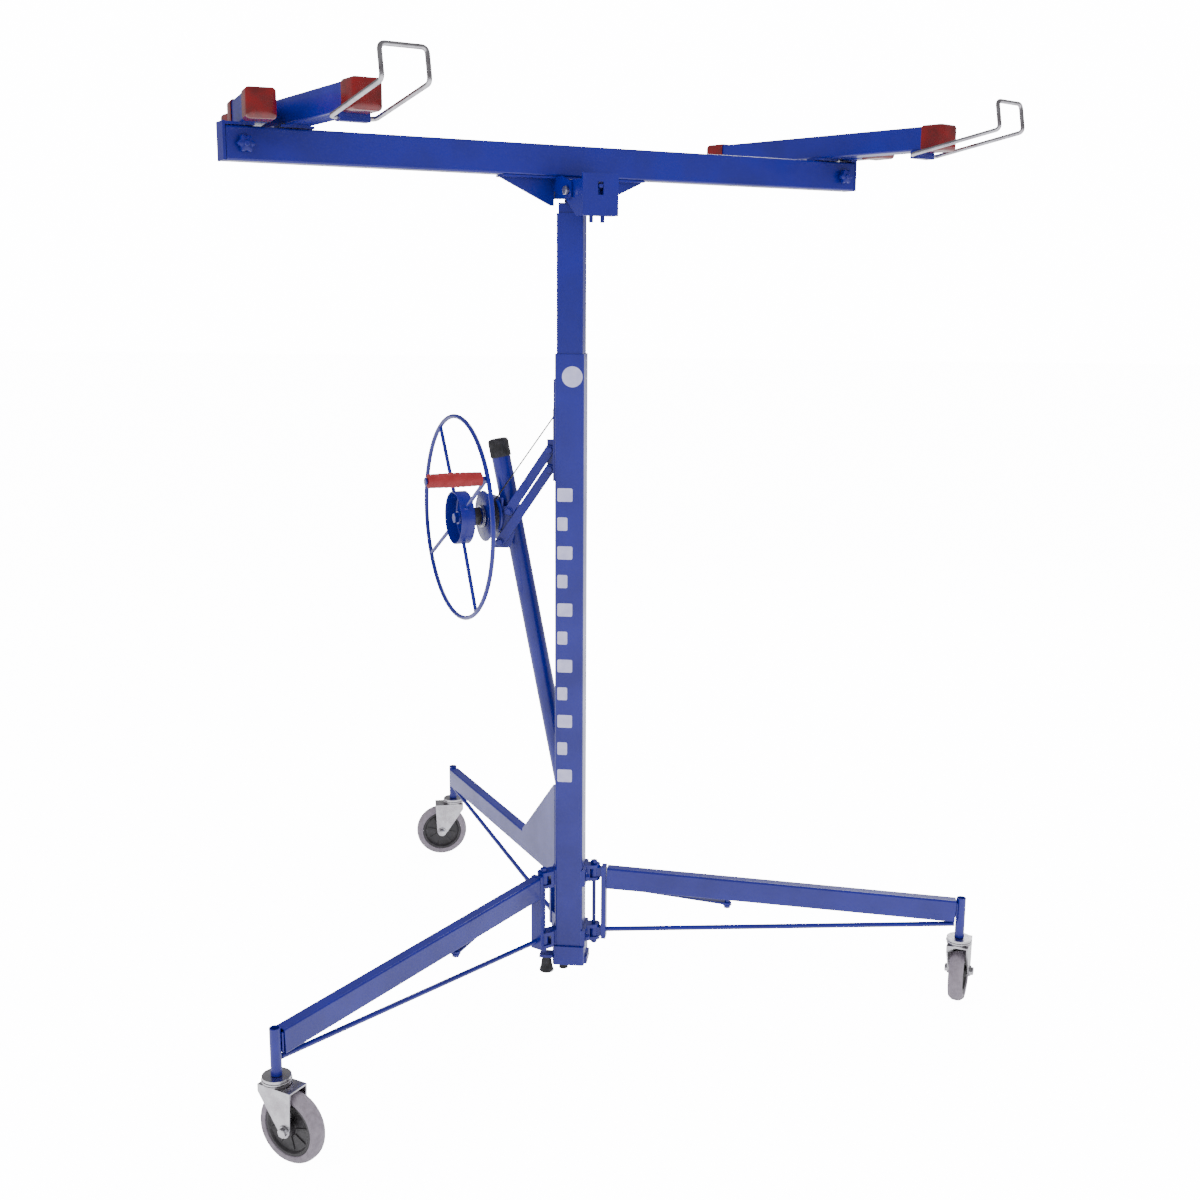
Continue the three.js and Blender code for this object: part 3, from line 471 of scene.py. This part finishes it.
def printed_film(colour):
    """Screen-printed vinyl film: pale, satin, lying flat on the paint, slightly mottled."""
    material, tree, shader, place = start_material("pale_vinyl_film", Roughness=0.35, IOR=1.46)
    tree.links.new(mix_colour(tree, ramp(tree, noise(tree, place, 18, 3), 0.35, 0.75), colour, "#a19fc4"),
                   shader.inputs["Base Color"])
    bump(tree, shader, noise(tree, place, 2, 2), 0.02, 0.3)
    return material


def finishes():
    """Every finish, made once from the colours in the panel."""
    if not _made:
        c = bpy.context.scene.lift_finish
        hexed = lambda v: "#" + "".join(f"{round(max(0, min(1, x)) * 255):02x}" for x in v)
        _made.update(
            blue_paint=blue_powder_coat(hexed(c.coat)), red_vinyl=dipped_vinyl(hexed(c.vinyl)),
            red_grip=soft_grip(hexed(c.grip)), black_rubber=black_rubber(hexed(c.rubber)),
            wheel_tread=wheel_tread(hexed(c.tread)), black_plastic=wheel_nylon(hexed(c.core)),
            zinc_steel=zinc_plate(hexed(c.zinc)), wire_rope=wire_rope(hexed(c.rope)),
            film=printed_film(hexed(c.film)))
    return _made


_made = {}


# ---- settings ---------------------------------------------------------------------------------
def colour_property(name, text, value):
    """A colour in sRGB, shown as a swatch."""
    rgb = tuple(int(value[i:i + 2], 16) / 255 for i in (1, 3, 5))
    return FloatVectorProperty(name=name, description=text, subtype="COLOR_GAMMA", size=3, min=0, max=1,
                               default=rgb)


class LiftFinish(bpy.types.PropertyGroup):
    coat: colour_property("Powder coat", "Colour of the painted steel", "#0f1078")
    vinyl: colour_property("Dipped caps", "Colour of the vinyl caps on the tube ends", "#6a090d")
    grip: colour_property("Grip", "Colour of the hand wheel's grip", "#801216")
    rubber: colour_property("Rubber", "Colour of the feet and the post cap", "#1a1a1c")
    tread: colour_property("Tread", "Colour of the wheels' tread", "#7d7580")
    core: colour_property("Wheel core", "Colour of the wheels' moulded core", "#201e21")
    zinc: colour_property("Zinc", "Colour of the plated parts", "#c9c8cc")
    rope: colour_property("Rope", "Colour of the winch rope", "#77767a")
    film: colour_property("Film", "Colour of the plain printed marks on the mast", "#b4b2d0")


class LiftSizes(bpy.types.PropertyGroup):
    edge_radius: FloatProperty(name="Edge radius", description="Rounding of cut plate edges, in millimetres",
                               default=0.7, min=0.1, max=2.0)
    tube_radius: FloatProperty(name="Tube end radius",
                               description="Rounding of sawn tube ends, in millimetres",
                               default=0.45, min=0.1, max=1.0)
    weld_size: FloatProperty(name="Weld size", description="Radius of the weld beads, in millimetres",
                             default=2.0, min=0.5, max=4.0)
    mark_count: IntProperty(name="Marks", description="Number of plain bars printed up the mast",
                            default=11, min=1)
    round_sides: IntProperty(name="Roundness", description="Facets round a turned piece", default=64, min=16)


# ---- operators --------------------------------------------------------------------------------
TUBE_NODES = ("mast_outer", "mast_middle", "mast_inner", "crossbeam", "arm_left", "arm_right", "leg_a_beam",
              "leg_b_beam", "leg_c_beam", "outrigger_left", "outrigger_right")
PLATE_NODES = ("hub_upper", "hub_lower", "foot_socket", "post_socket", "mast_bracket", "brace_front",
               "brace_rear",
               "winch_frame", "head_box", "tilt_latch", "cradle_saddle", "leg_a_truss", "leg_b_truss",
               "leg_c_truss",
               "leg_a_strap", "leg_b_strap", "hinge_pin_a", "hinge_pin_b")
ZINC_NODES = ("tilt_pin", "caster_a_fork", "caster_b_fork", "caster_c_fork")


class LIFT_OT_tubes(bpy.types.Operator):
    """Mast stages, crossbeam, arms, outriggers and leg beams: sawn rectangular tube with rounded corners"""
    bl_idname = "lift.tubes"
    bl_label = "Tubes"

    def execute(self, context):
        for node in TUBE_NODES:
            softened(node, context.scene.lift_sizes.tube_radius, finishes()["blue_paint"])
        return {"FINISHED"}


class LIFT_OT_plates(bpy.types.Operator):
    """Cut and welded plates, trusses, straps and pins, with their sheared edges eased"""
    bl_idname = "lift.plates"
    bl_label = "Plates and trusses"

    def execute(self, context):
        radius = context.scene.lift_sizes.edge_radius
        for node in PLATE_NODES:
            softened(node, radius, finishes()["blue_paint"])
        for node in ZINC_NODES:
            softened(node, radius, finishes()["zinc_steel"])
        return {"FINISHED"}


class LIFT_OT_round_posts(bpy.types.Operator):
    """The winch post and the three leg posts: round tubes open at the top, turned smooth"""
    bl_idname = "lift.round_posts"
    bl_label = "Round posts"

    def execute(self, context):
        paint = finishes()["blue_paint"]
        sides = context.scene.lift_sizes.round_sides
        for letter in "abc":
            low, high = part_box(f"leg_{letter}_post")
            foot = Place(((low[0] + high[0]) / 2, (low[1] + high[1]) / 2, low[2]), (1, 0, 0))
            r, top = 9.5, (high[2] - low[2]) / MM
            wall = [(r - 2, 0.5), (r - 2, top - 0.5), (r - 1.5, top), (r - 0.5, top), (r, top - 0.5),
                    (r, 0.5),
                    (r - 0.5, 0), (r - 1.5, 0), (r - 2, 0.5)]
            add_mesh(f"leg_{letter}_post_finish", *turned(foot, wall, sides), paint,
                     BODY_OF[f"leg_{letter}_post"], "blue_paint", (f"leg_{letter}_post",))
        lean, y, low, high = 0.189, 60.0, 378.0, 1131.0
        foot = MAST((-14, y, low))
        up = unit((-lean, 0, 1))
        post = Place(foot, (1, 0, lean), up)
        length, r = (high - low) * math.hypot(1, lean), 19.0
        wall = [(r - 2.5, 0.5), (r - 2.5, length - 0.5), (r - 2, length), (r - 0.6, length),
                (r, length - 0.6),
                (r, 0.6), (r - 0.6, 0), (r - 2, 0), (r - 2.5, 0.5)]
        add_mesh("winch_post_finish", *turned(post, wall, sides), paint, "frame", "blue_paint",
                 ("winch_post",))
        cap = [(0, length + 4), (r - 3, length + 4), (r - 3, length + 1), (r + 0.35, length + 1),
               (r + 0.35, length - 28),
               (r + 0.6, length - 29), (r + 1.7, length - 29), (r + 2.2, length - 28.2),
               (r + 2.2, length - 26),
               (r + 1.8, length - 24.5), (r + 1.9, length - 2), (r + 1.5, length + 3),
               (r - 0.4, length + 6.2),
               (r - 5, length + 7.6), (0, length + 8)]
        add_mesh("post_cap_finish", *turned(post, cap, sides), finishes()["black_rubber"], "frame",
                 "black_rubber", ("post_cap",))
        return {"FINISHED"}


class LIFT_OT_casters(bpy.types.Operator):
    """Three swivel casters: crowned tread, dished and ribbed core, axle bolt and ball race"""
    bl_idname = "lift.casters"
    bl_label = "Casters"

    def execute(self, context):
        sides = context.scene.lift_sizes.round_sides
        for letter in "abc":
            axle = pivot(f"wheel_{letter}_roll")
            post = pivot(f"caster_{letter}_swivel")
            trail = unit((axle[0] - post[0], axle[1] - post[1], 0))
            hub = Place(axle, trail)
            inner, outer, half = 48.35, 63.5, 15.0
            t = np.linspace(-1, 1, 17)
            crown = np.stack([outer - 3.6 * np.abs(t) ** 3.2, t * (half - 3.2)], -1)
            tread = [(inner, -half + 2.2), (inner + 0.6, -half + 1.2), (outer - 9, -half + 0.1),
                     (outer - 6, -half + 0.3),
                     *crown.tolist(), (outer - 6, half - 0.3), (outer - 9, half - 0.1),
                     (inner + 0.6, half - 1.2),
                     (inner, half - 2.2), (inner, -half + 2.2)]
            add_mesh(f"caster_{letter}_tread", *turned(hub, tread, 96, "y"), finishes()["wheel_tread"],
                     f"wheel_{letter}", "wheel_tread", (f"caster_{letter}_tyre",))
            self.core(letter, hub, sides)
            self.fork_details(letter, Place((post[0], post[1], 0), trail), sides)
        return {"FINISHED"}

    @staticmethod
    def core(letter, hub, sides):
        """Dished disc: a rim flange, a web half its width and a boss, with eight ribs on each face."""
        r = 48.0
        dish = [(5, -17.4), (11.2, -17.4), (12.4, -16.6), (14, -9), (16, -7.4), (r - 11, -6.4),
                (r - 7.5, -8.2),
                (r - 5.4, -11.6), (r - 4.4, -12.2), (r - 0.4, -12.2), (r, -11.6)]
        profile = dish + [(a, -b) for a, b in reversed(dish)] + dish[:1]
        shapes = [turned(hub, profile, sides, "y")]
        angles = np.arange(8) * math.tau / 8 + 0.2
        for face in (-1, 1):
            for a in angles:
                x, z = np.cos(a), np.sin(a)
                ring = np.array(((12.5, 6.0), (12.5, 9.6), (r - 8, 7.6), (r - 8, 6.0)))
                loops = [[(x * p - z * w, face * q, z * p + x * w) for p, q in ring] for w in (-1.1, 1.1)]
                shapes.append(lofted(hub, loops))
        add_mesh(f"caster_{letter}_hub", *merge(*shapes), finishes()["black_plastic"], f"wheel_{letter}",
                 "black_plastic", (f"caster_{letter}_core",), crease=30)

    @staticmethod
    def fork_details(letter, place, sides):
        """Axle bolt with nut, race lips and the crown's stiffening ridge."""
        zinc = finishes()["zinc_steel"]
        shapes = [hexagon_bolt(place, (31, 21.6, 63.5), (0, 1, 0), 15, 5.2),
                  hexagon_bolt(place, (31, -21.6, 63.5), (0, -1, 0), 15, 5.2),
                  turned(place, [(21, 139), (25.2, 139), (25.9, 140), (25.9, 142), (25.1, 143), (21, 143),
                                 (21, 139)], sides),
                  turned(place, [(20, 133.6), (23.6, 133.6), (24.4, 134.6), (24.4, 136.6), (23.4, 137.6),
                                 (20, 137.6), (20, 133.6)], sides)]
        add_mesh(f"caster_{letter}_race", *merge(*shapes), zinc, f"caster_{letter}", "zinc_steel")


class LIFT_OT_winch(bpy.types.Operator):
    """Hand wheel of round rod, its drum, brake disc and grip, the sheave and the rope"""
    bl_idname = "lift.winch"
    bl_label = "Winch"

    def execute(self, context):
        sides = context.scene.lift_sizes.round_sides
        shaft = axis_of("winch_turn")
        wheel = Place(pivot("winch_turn"), shaft)
        grip = pivot("grip_spin")
        rel = (grip - wheel.origin) / MM
        start = math.atan2(rel[2], -rel.dot(wheel.y))
        rim_r, rod = 201.0, 4.5
        t = np.linspace(0, math.tau, 128, endpoint=False)
        rim = np.stack([t * 0, rim_r * np.cos(t), rim_r * np.sin(t)], -1)
        shapes = [swept(wheel, rim, rod, 20, closed=True)]
        for k in range(4):
            a = start + k * math.pi / 2
            across = np.array((0, -math.cos(a), math.sin(a)))
            inner, outer = np.array((2.0, 0, 0)) + across * 51, across * (rim_r - 2)
            shapes.append(swept(wheel, np.linspace(inner, outer, 8), 4.0, 18))
            weld = np.linspace(-6, 6, 9)[:, None]
            along = np.array((0, math.sin(a), math.cos(a)))
            shapes.append(swept(wheel, across * (rim_r - 4.6) + along * weld, 2.0, 10))
            shapes.append(turned(Place(wheel(inner), wheel.x, wheel.y * across[1] + wheel.z * across[2]),
                                 [(0, 0), (6, 0), (5.4, 2), (4, 3.4), (0, 3.6)], 18))
        cup = [(0, 19.6), (49, 19.6), (51.4, 19), (53, 17.4), (53, -8.8), (52.4, -9.7), (51.4, -10),
               (50.2, -9.5),
               (50, -8.8), (50, 13), (48, 15), (14, 15), (13, 14), (13, 3), (12, 2), (0, 2)]
        shapes.append(turned(wheel, cup, sides, "x"))
        shapes.append(hexagon_bolt(wheel, (2, 0, 0), (-1, 0, 0), 19, 8))
        peg = Place(grip, wheel.x)
        shapes.append(swept(peg, np.linspace((12, 0, 0), (-109, 0, 0), 6), 4.4, 18))
        shapes.append(turned(peg, [(0, -111), (6.6, -111), (7.4, -110.2), (7.4, -108.6), (6.6, -108),
                                   (0, -108)], 32, "x"))
        add_mesh("winch_wheel_rods", *merge(*shapes), finishes()["blue_paint"], "winch", "blue_paint",
                 ("winch_wheel",), crease=35)
        r, length = 13.0, 106.0
        u = np.linspace(0, 1, 60)
        swell = r + 0.9 * np.sin(np.pi * u) + 0.35 * np.cos(u * math.tau * 9) * np.sin(np.pi * u)
        skin = [(5, 0), (r - 3, 0), (r - 1.2, -0.6), *np.stack([swell, -(1.4 + u * (length - 2.8))],
                                                               -1).tolist(),
                (r - 1.2, -length + 0.6), (r - 3, -length), (5, -length), (5, 0)]
        add_mesh("winch_grip_skin", *turned(peg, skin, sides, "x"), finishes()["red_grip"], "grip",
                 "red_grip",
                 ("winch_grip",))
        s = 20.35
        stack = [(0, s), (12.4, s), (13, s + 0.6), (13, 44.6), (18, 45.2), (19, 46), (19, 52.6),
                 (18.2, 53.6), (50, 53.8),
                 (51, 54.6), (51, 57.4), (50, 58.2), (31, 58.8),
                 *[(30.4 + 1.3 * abs(math.sin(q * math.pi / 3.2)), 59 + q)
                 for q in np.arange(0.4, 18, 0.8)], (36, 77.6), (36.4, 78.4), (36.4, 81.4), (35.6, 82),
                 (8, 82.4), (8, 92), (0, 92)]
        add_mesh("winch_drum_stack", *turned(wheel, stack, sides, "x"), finishes()["blue_paint"], "winch",
                 "blue_paint", ("winch_drum",), crease=50)
        collar = [(13.2, s + 1), (17.6, s + 1), (18, s + 1.6), (18, 43.4), (17.4, 44.4), (13.2, 44.4),
                  (13.2, s + 1)]
        add_mesh("shaft_collar", *turned(wheel, collar, sides, "x"), finishes()["black_plastic"], "winch",
                 "black_plastic")
        rings = [turned(wheel, [(19.2, a), (22, a), (22.6, a + 0.6), (22.6, a + 1.9), (22, a + 2.4),
                                (19.2, a + 2.4),
                                (19.2, a)], sides, "x") for a in (45.8, 49)]
        add_mesh("shaft_washers", *merge(*rings), finishes()["zinc_steel"], "winch", "zinc_steel")
        rope = [turned(wheel, [(31.2 + 1.4 * math.cos(q), a + 1.4 * math.sin(q))
                               for q in np.linspace(0, math.tau, 13)],
                       sides, "x") for a in np.arange(60.8, 76.4, 2.9)]
        add_mesh("drum_rope_turns", *merge(*rope), finishes()["wire_rope"], "winch", "wire_rope")
        softened("cable_sheave", 0.4, finishes()["black_plastic"])
        softened("winch_cable", 0, finishes()["wire_rope"], crease=80)
        return {"FINISHED"}


class LIFT_OT_hooks(bpy.types.Operator):
    """Two bent wire hooks that keep the sheet from sliding off the arms"""
    bl_idname = "lift.hooks"
    bl_label = "Wire hooks"

    def execute(self, context):
        for side in ("left", "right"):
            cross = axis_of(f"hook_{side}_fold")
            tip = math.radians(9.7)
            level = Place(pivot(f"hook_{side}_fold"), cross)
            up = level.z * math.cos(tip) + level.y * math.sin(tip)
            hook = Place(level.origin, cross, up)
            r, reach, rise = 38, 200, 51
            corners = [(-20, 0, 0), (-r, 0, 0), (-r, -reach, 0), (-r, -reach, rise), (r, -reach, rise),
                       (r, -reach, 0), (r, 0, 0), (20, 0, 0)]
            add_mesh(f"hook_{side}_wire", *swept(hook, rounded_path(corners, 10, 12), 4.0, 24),
                     finishes()["zinc_steel"], f"hook_{side}", "zinc_steel", (f"hook_{side}",))
        return {"FINISHED"}


class LIFT_OT_end_caps(bpy.types.Operator):
    """Eight dipped caps: a soft box that wraps the tube's end, with a rolled rim and a domed face"""
    bl_idname = "lift.end_caps"
    bl_label = "Dipped end caps"

    def execute(self, context):
        for node in sorted(n for n in NODES if "_cap_" in n):
            low, high = (np.array(c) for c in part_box(node))
            side = "left" if "left" in node else "right"
            partner = "arm_cap_" if node.startswith("arm") else "tee_cap_"
            far, near = ((np.array(a) + np.array(b)) / 2 for a, b in
                         (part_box(f"{partner}{side}_far"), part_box(f"{partner}{side}_near")))
            inward = unit(far - near) if node.endswith("near") else unit(near - far)
            cap = Place((low + high) / 2, np.cross(inward, UP), UP)
            back = 25.0
            into = -1 if np.dot(cap.y, inward) < 0 else 1
            outer = ((22.0, -back), (32, -back + 0.1), (41, -back + 0.9), (46.5, -back + 2.4),
                     (49, -back + 5), (50, -back + 9),
                     (50, back - 2.4), (49.6, back - 0.8), (48.6, back), (46.6, back - 0.6), (45.9, back - 2))
            inner = ((45.8, -back + 3.8), (20, -back + 3.7))
            loops = []
            for size, y in outer + inner:
                ring = squircle(size, size, min(6.5, size * 0.16) if size > 46 else max(2.2, size * 0.1), 7)
                loops.append(np.stack([ring[:, 0], np.full(len(ring), y * into), ring[:, 1]], -1))
            add_mesh(f"{node}_skin", *lofted(cap, loops), finishes()["red_vinyl"], BODY_OF[node],
                     "red_vinyl", (node,), 50)
        return {"FINISHED"}


class LIFT_OT_hardware(bpy.types.Operator):
    """Bolts, weld beads, lock knobs and the second foot"""
    bl_idname = "lift.hardware"
    bl_label = "Hardware"

    def execute(self, context):
        paint, rubber = finishes()["blue_paint"], finishes()["black_rubber"]
        bead = context.scene.lift_sizes.weld_size
        for letter in "ab":
            joint = JOINTS[f"strap_{letter}_hinge"]
            at = Place(joint["pos_m"], (1, 0, 0))
            bolt = merge(hexagon_bolt(at, (0, 0, -0.2), (0, 0, -1), 13, 6))
            add_mesh(f"strap_{letter}_bolt", *bolt, paint, f"leg_{letter}", "blue_paint")
        for letter in "abc":
            low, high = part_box(f"leg_{letter}_post")
            post = Place(((low[0] + high[0]) / 2, (low[1] + high[1]) / 2, 0), (1, 0, 0))
            hub = MAST.origin if letter == "c" else pivot(f"leg_{letter}_fold")
            inward = unit((hub[0] - post.origin[0], hub[1] - post.origin[1], 0))
            leg = Place(post.origin, inward)
            z = np.linspace(187, 224, 20)
            wobble = 0.5 * np.sin(np.arange(20) * 1.9)
            shapes = [swept(leg, np.stack([np.full(20, 8.6) + wobble * 0.4, s * (8.6 + wobble * 0.3), z],
                                          -1), bead, 10)
                      for s in (-1, 1)]
            add_mesh(f"leg_{letter}_weld", *merge(*shapes), paint, BODY_OF[f"leg_{letter}_post"],
                     "blue_paint", crease=80)
        feet = [turned(MAST, [(0, 33), (9.4, 33), (9.8, 27), (10.4, 25), (12.6, 10), (15, 4), (15, 1.4),
                              (14, 0.2), (0, 0)],
                       48, start=(-46, -28, 36.65))]
        add_mesh("rubber_foot_moulding", *merge(*feet), rubber, "frame", "black_rubber", ("rubber_foot",))
        second = turned(MAST, [(0, 53.8), (8, 53.8), (8.4, 49), (9.6, 45.4), (9.2, 44.2), (0, 44)], 48,
                        start=(-11, -24, 0))
        add_mesh("rubber_foot_small", *second, rubber, "frame", "black_rubber")
        braces = [hexagon_bolt(MAST, (x, 19.6, z), (0, -1, 0), 12, 5.5) for x, z in
                  ((-46, 1083), (-46, 1121.5), (-147, 934), (-129, 997))]
        add_mesh("brace_bolts", *merge(*braces), paint, "frame", "blue_paint")
        hub = [hexagon_bolt(MAST, (35, y, z), (1, 0, 0), 12, 5) for y, z in ((-20, 112), (-20, 245))]
        add_mesh("hub_bolts", *merge(*hub), paint, "frame", "blue_paint")
        head = [hexagon_bolt(CRADLE, (s * 43, 8, 1630), (s, 0, 0), 13, 5) for s in (-1, 1)]
        add_mesh("saddle_bolts", *merge(*head), paint, "cradle", "blue_paint")
        self.cradle_details(paint)
        return {"FINISHED"}

    @staticmethod
    def cradle_details(paint):
        """Knobs that lock the outriggers."""
        for sign, side in ((-1, "left"), (1, "right")):
            knob = Place(CRADLE((sign * 630, -19.2, 1666)), CRADLE.x, -CRADLE.y)
            lobes = np.linspace(0, math.tau, 72, endpoint=False)
            outline = 13.5 + 1.8 * np.cos(lobes * 6)
            heights = ((0.55, 0), (0.62, 5.5), (0.97, 6), (1.0, 8), (1.0, 13), (0.94, 15.4), (0.6, 16.4))
            loops = [[(k * o * math.cos(a), k * o * math.sin(a), h) for a, o in zip(lobes, outline)] for k,
                     h in heights]
            shapes = [lofted(knob, loops), turned(knob, [(0, 16), (4.6, 16), (5, 18), (4, 19.4), (0, 19.6)],
                                                  24)]
            add_mesh(f"lock_knob_{side}", *merge(*shapes), paint, "cradle", "blue_paint")


MARK_SPAN = (437.0, 1068.0)             # heights the bars run between, in millimetres
MARK_BACK, MARK_FACE = 0.02, 0.18       # the film's back and face, off the mast
DISC_CENTRE, DISC_RADIUS = (6, 1268), 20


class LIFT_OT_marks(bpy.types.Operator):
    """Plain pale bars up the mast and a plain disc near its top, in place of any printed words"""
    bl_idname = "lift.marks"
    bl_label = "Plain marks"

    def execute(self, context):
        front = MAST_LOW[1]
        count = context.scene.lift_sizes.mark_count
        low, high = MARK_SPAN
        pitch = (high - low) / count
        shapes = []
        for k in range(count):
            wide = 30.0 if k % 2 == 0 else 20.0
            ring = squircle(wide, pitch * 0.46, 3)
            centre = np.array((-8 - (30 - wide) / 2, low + (k + 0.5) * pitch))
            loops = [np.stack([ring[:, 0] + centre[0], ring[:, 1] + centre[1], np.full(len(ring), h)], -1)
                     for h in (MARK_BACK, MARK_FACE)]
            shapes.append(loops)

        def upright(flat):
            """Loops drawn flat, stood up on the mast's front face."""
            return [np.stack([loop[:, 0], -loop[:, 2], loop[:, 1]], -1) for loop in flat]

        sheet = Place((MAST.origin[0], front, 0), (1, 0, 0))
        bars = merge(*[lofted(sheet, upright(s)) for s in shapes])
        add_mesh("mast_marks", *bars, finishes()["film"], "frame", "blue_paint")
        t = np.linspace(0, math.tau, 64, endpoint=False)
        across, up = DISC_CENTRE
        disc = [[(across + DISC_RADIUS * math.cos(a), -h, up + DISC_RADIUS * math.sin(a)) for a in t]
                for h in (MARK_BACK, MARK_FACE)]
        add_mesh("mast_disc", *lofted(sheet, disc), finishes()["film"], "frame", "blue_paint")
        return {"FINISHED"}


# Brightness of the backdrop as it lights the object, as it is reflected, and as the camera sees it.
WORLD_LIGHT, WORLD_REFLECTED, WORLD_SEEN = 1.35, 0.3, 16.0
FLOOR_LIGHT, FLOOR_SEEN = 0.25, 14.0


class LIFT_OT_stage(bpy.types.Operator):
    """Floor and backdrop that look white to the camera, soft studio light and the camera"""
    bl_idname = "lift.stage"
    bl_label = "Stage"

    def execute(self, context):
        bpy.ops.mesh.primitive_plane_add(size=60, location=(0, 0, -0.0005))
        floor = context.object
        floor.name = "studio_floor"
        material, tree, shader, place = start_material("pale_matte_floor", Roughness=0.9,
                                                       Emission_Color=linear("#fbfbfd"))
        floor_rays = add(tree, "LightPath")
        glow = add(tree, "MapRange", {"Value": floor_rays.outputs["Is Camera Ray"]}, To_Min=FLOOR_LIGHT,
                   To_Max=FLOOR_SEEN)
        tree.links.new(glow.outputs["Result"], shader.inputs["Emission Strength"])
        shade = ramp(tree, noise(tree, place, 900, 2), 0.3, 0.7)
        tree.links.new(mix_colour(tree, shade, "#f8f8fa", "#f4f4f6"), shader.inputs["Base Color"])
        floor.data.materials.append(material)
        world = bpy.data.worlds.new("soft_studio")
        context.scene.world = world
        world.use_nodes = True
        background = world.node_tree.nodes["Background"]
        background.inputs["Color"].default_value = linear("#fbfbfd")
        rays = add(world.node_tree, "LightPath")
        seen = add(world.node_tree, "MapRange", {"Value": rays.outputs["Is Camera Ray"]},
                   To_Min=WORLD_LIGHT, To_Max=WORLD_SEEN)
        level = add(world.node_tree, "MapRange", {"Value": rays.outputs["Is Glossy Ray"]},
                    To_Max=WORLD_REFLECTED)
        world.node_tree.links.new(seen.outputs["Result"], level.inputs["To Min"])
        world.node_tree.links.new(level.outputs["Result"], background.inputs["Strength"])
        for name, spot, size, power in (("key", (-2.6, -3.2, 4.0), 1.6, 120),
                                        ("fill", (3.4, -2.4, 2.4), 1.8, 60),
                                        ("rim", (1.2, 3.6, 3.4), 2.4, 110)):
            light = bpy.data.lights.new("soft_" + name, "AREA")
            light.shape, light.size, light.energy = "DISK", size, power
            lamp = bpy.data.objects.new("soft_" + name, light)
            context.scene.collection.objects.link(lamp)
            back = unit(np.array(spot) - np.array((0, 0, 0.9)))
            right = unit(np.cross(UP, back))
            lamp.matrix_world = Matrix(np.block([[np.stack([right, np.cross(back, right), back], 1),
                                                  np.array(spot, float)[:, None]],
                                                 [np.zeros((1, 3)), 1]]).tolist())
            lamp.visible_glossy = name == "rim"
        self.camera(context)
        return {"FINISHED"}

    @staticmethod
    def camera(context):
        """Eye height of a standing person, a little right of the mast, tipped down."""
        turn, tip, roll = math.radians(-6.385), math.radians(11.612), math.radians(0.3915)
        ahead = np.array((math.sin(turn) * math.cos(tip), math.cos(turn) * math.cos(tip), -math.sin(tip)))
        right = np.array((math.cos(turn), -math.sin(turn), 0.0))
        up = np.cross(right, ahead)
        right, up = (right * math.cos(roll) + up * math.sin(roll),
                     up * math.cos(roll) - right * math.sin(roll))
        data = bpy.data.cameras.new("eye")
        data.sensor_width, data.lens = 36.0, 44.08
        data.shift_x, data.shift_y = -0.0041, -0.0051
        camera = bpy.data.objects.new("eye", data)
        context.scene.collection.objects.link(camera)
        spot = MAST.origin + np.array((0.3874, -2.8518, 1.4280))
        camera.matrix_world = Matrix(np.block([[np.stack([right, up, -ahead], 1), spot[:, None]],
                                               [np.zeros((1, 3)), 1]]).tolist())
        context.scene.camera = camera


class LIFT_PT_panel(bpy.types.Panel):
    """Lists the lift's pieces and settings"""
    bl_idname = "LIFT_PT_panel"
    bl_label = "Panel Lift"
    bl_space_type = "VIEW_3D"
    bl_region_type = "UI"
    bl_category = "Panel Lift"

    def draw(self, context):
        for group in (context.scene.lift_finish, context.scene.lift_sizes):
            for name in group.__annotations__:
                self.layout.prop(group, name)
        for step in STEPS:
            self.layout.operator(step.bl_idname)


STEPS = (LIFT_OT_tubes, LIFT_OT_plates, LIFT_OT_round_posts, LIFT_OT_casters, LIFT_OT_winch, LIFT_OT_hooks,
         LIFT_OT_end_caps, LIFT_OT_hardware, LIFT_OT_marks, LIFT_OT_stage)
CLASSES = (LiftFinish, LiftSizes, *STEPS, LIFT_PT_panel)


def register():
    for cls in CLASSES:
        bpy.utils.register_class(cls)
    bpy.types.Scene.lift_finish = PointerProperty(type=LiftFinish)
    bpy.types.Scene.lift_sizes = PointerProperty(type=LiftSizes)


def unregister():
    del bpy.types.Scene.lift_sizes
    del bpy.types.Scene.lift_finish
    for cls in reversed(CLASSES):
        bpy.utils.unregister_class(cls)


def main():
    """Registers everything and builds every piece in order."""
    register()
    for step in STEPS:
        group, action = step.bl_idname.split(".")
        getattr(getattr(bpy.ops, group), action)()


if __name__ == "__main__":
    main()
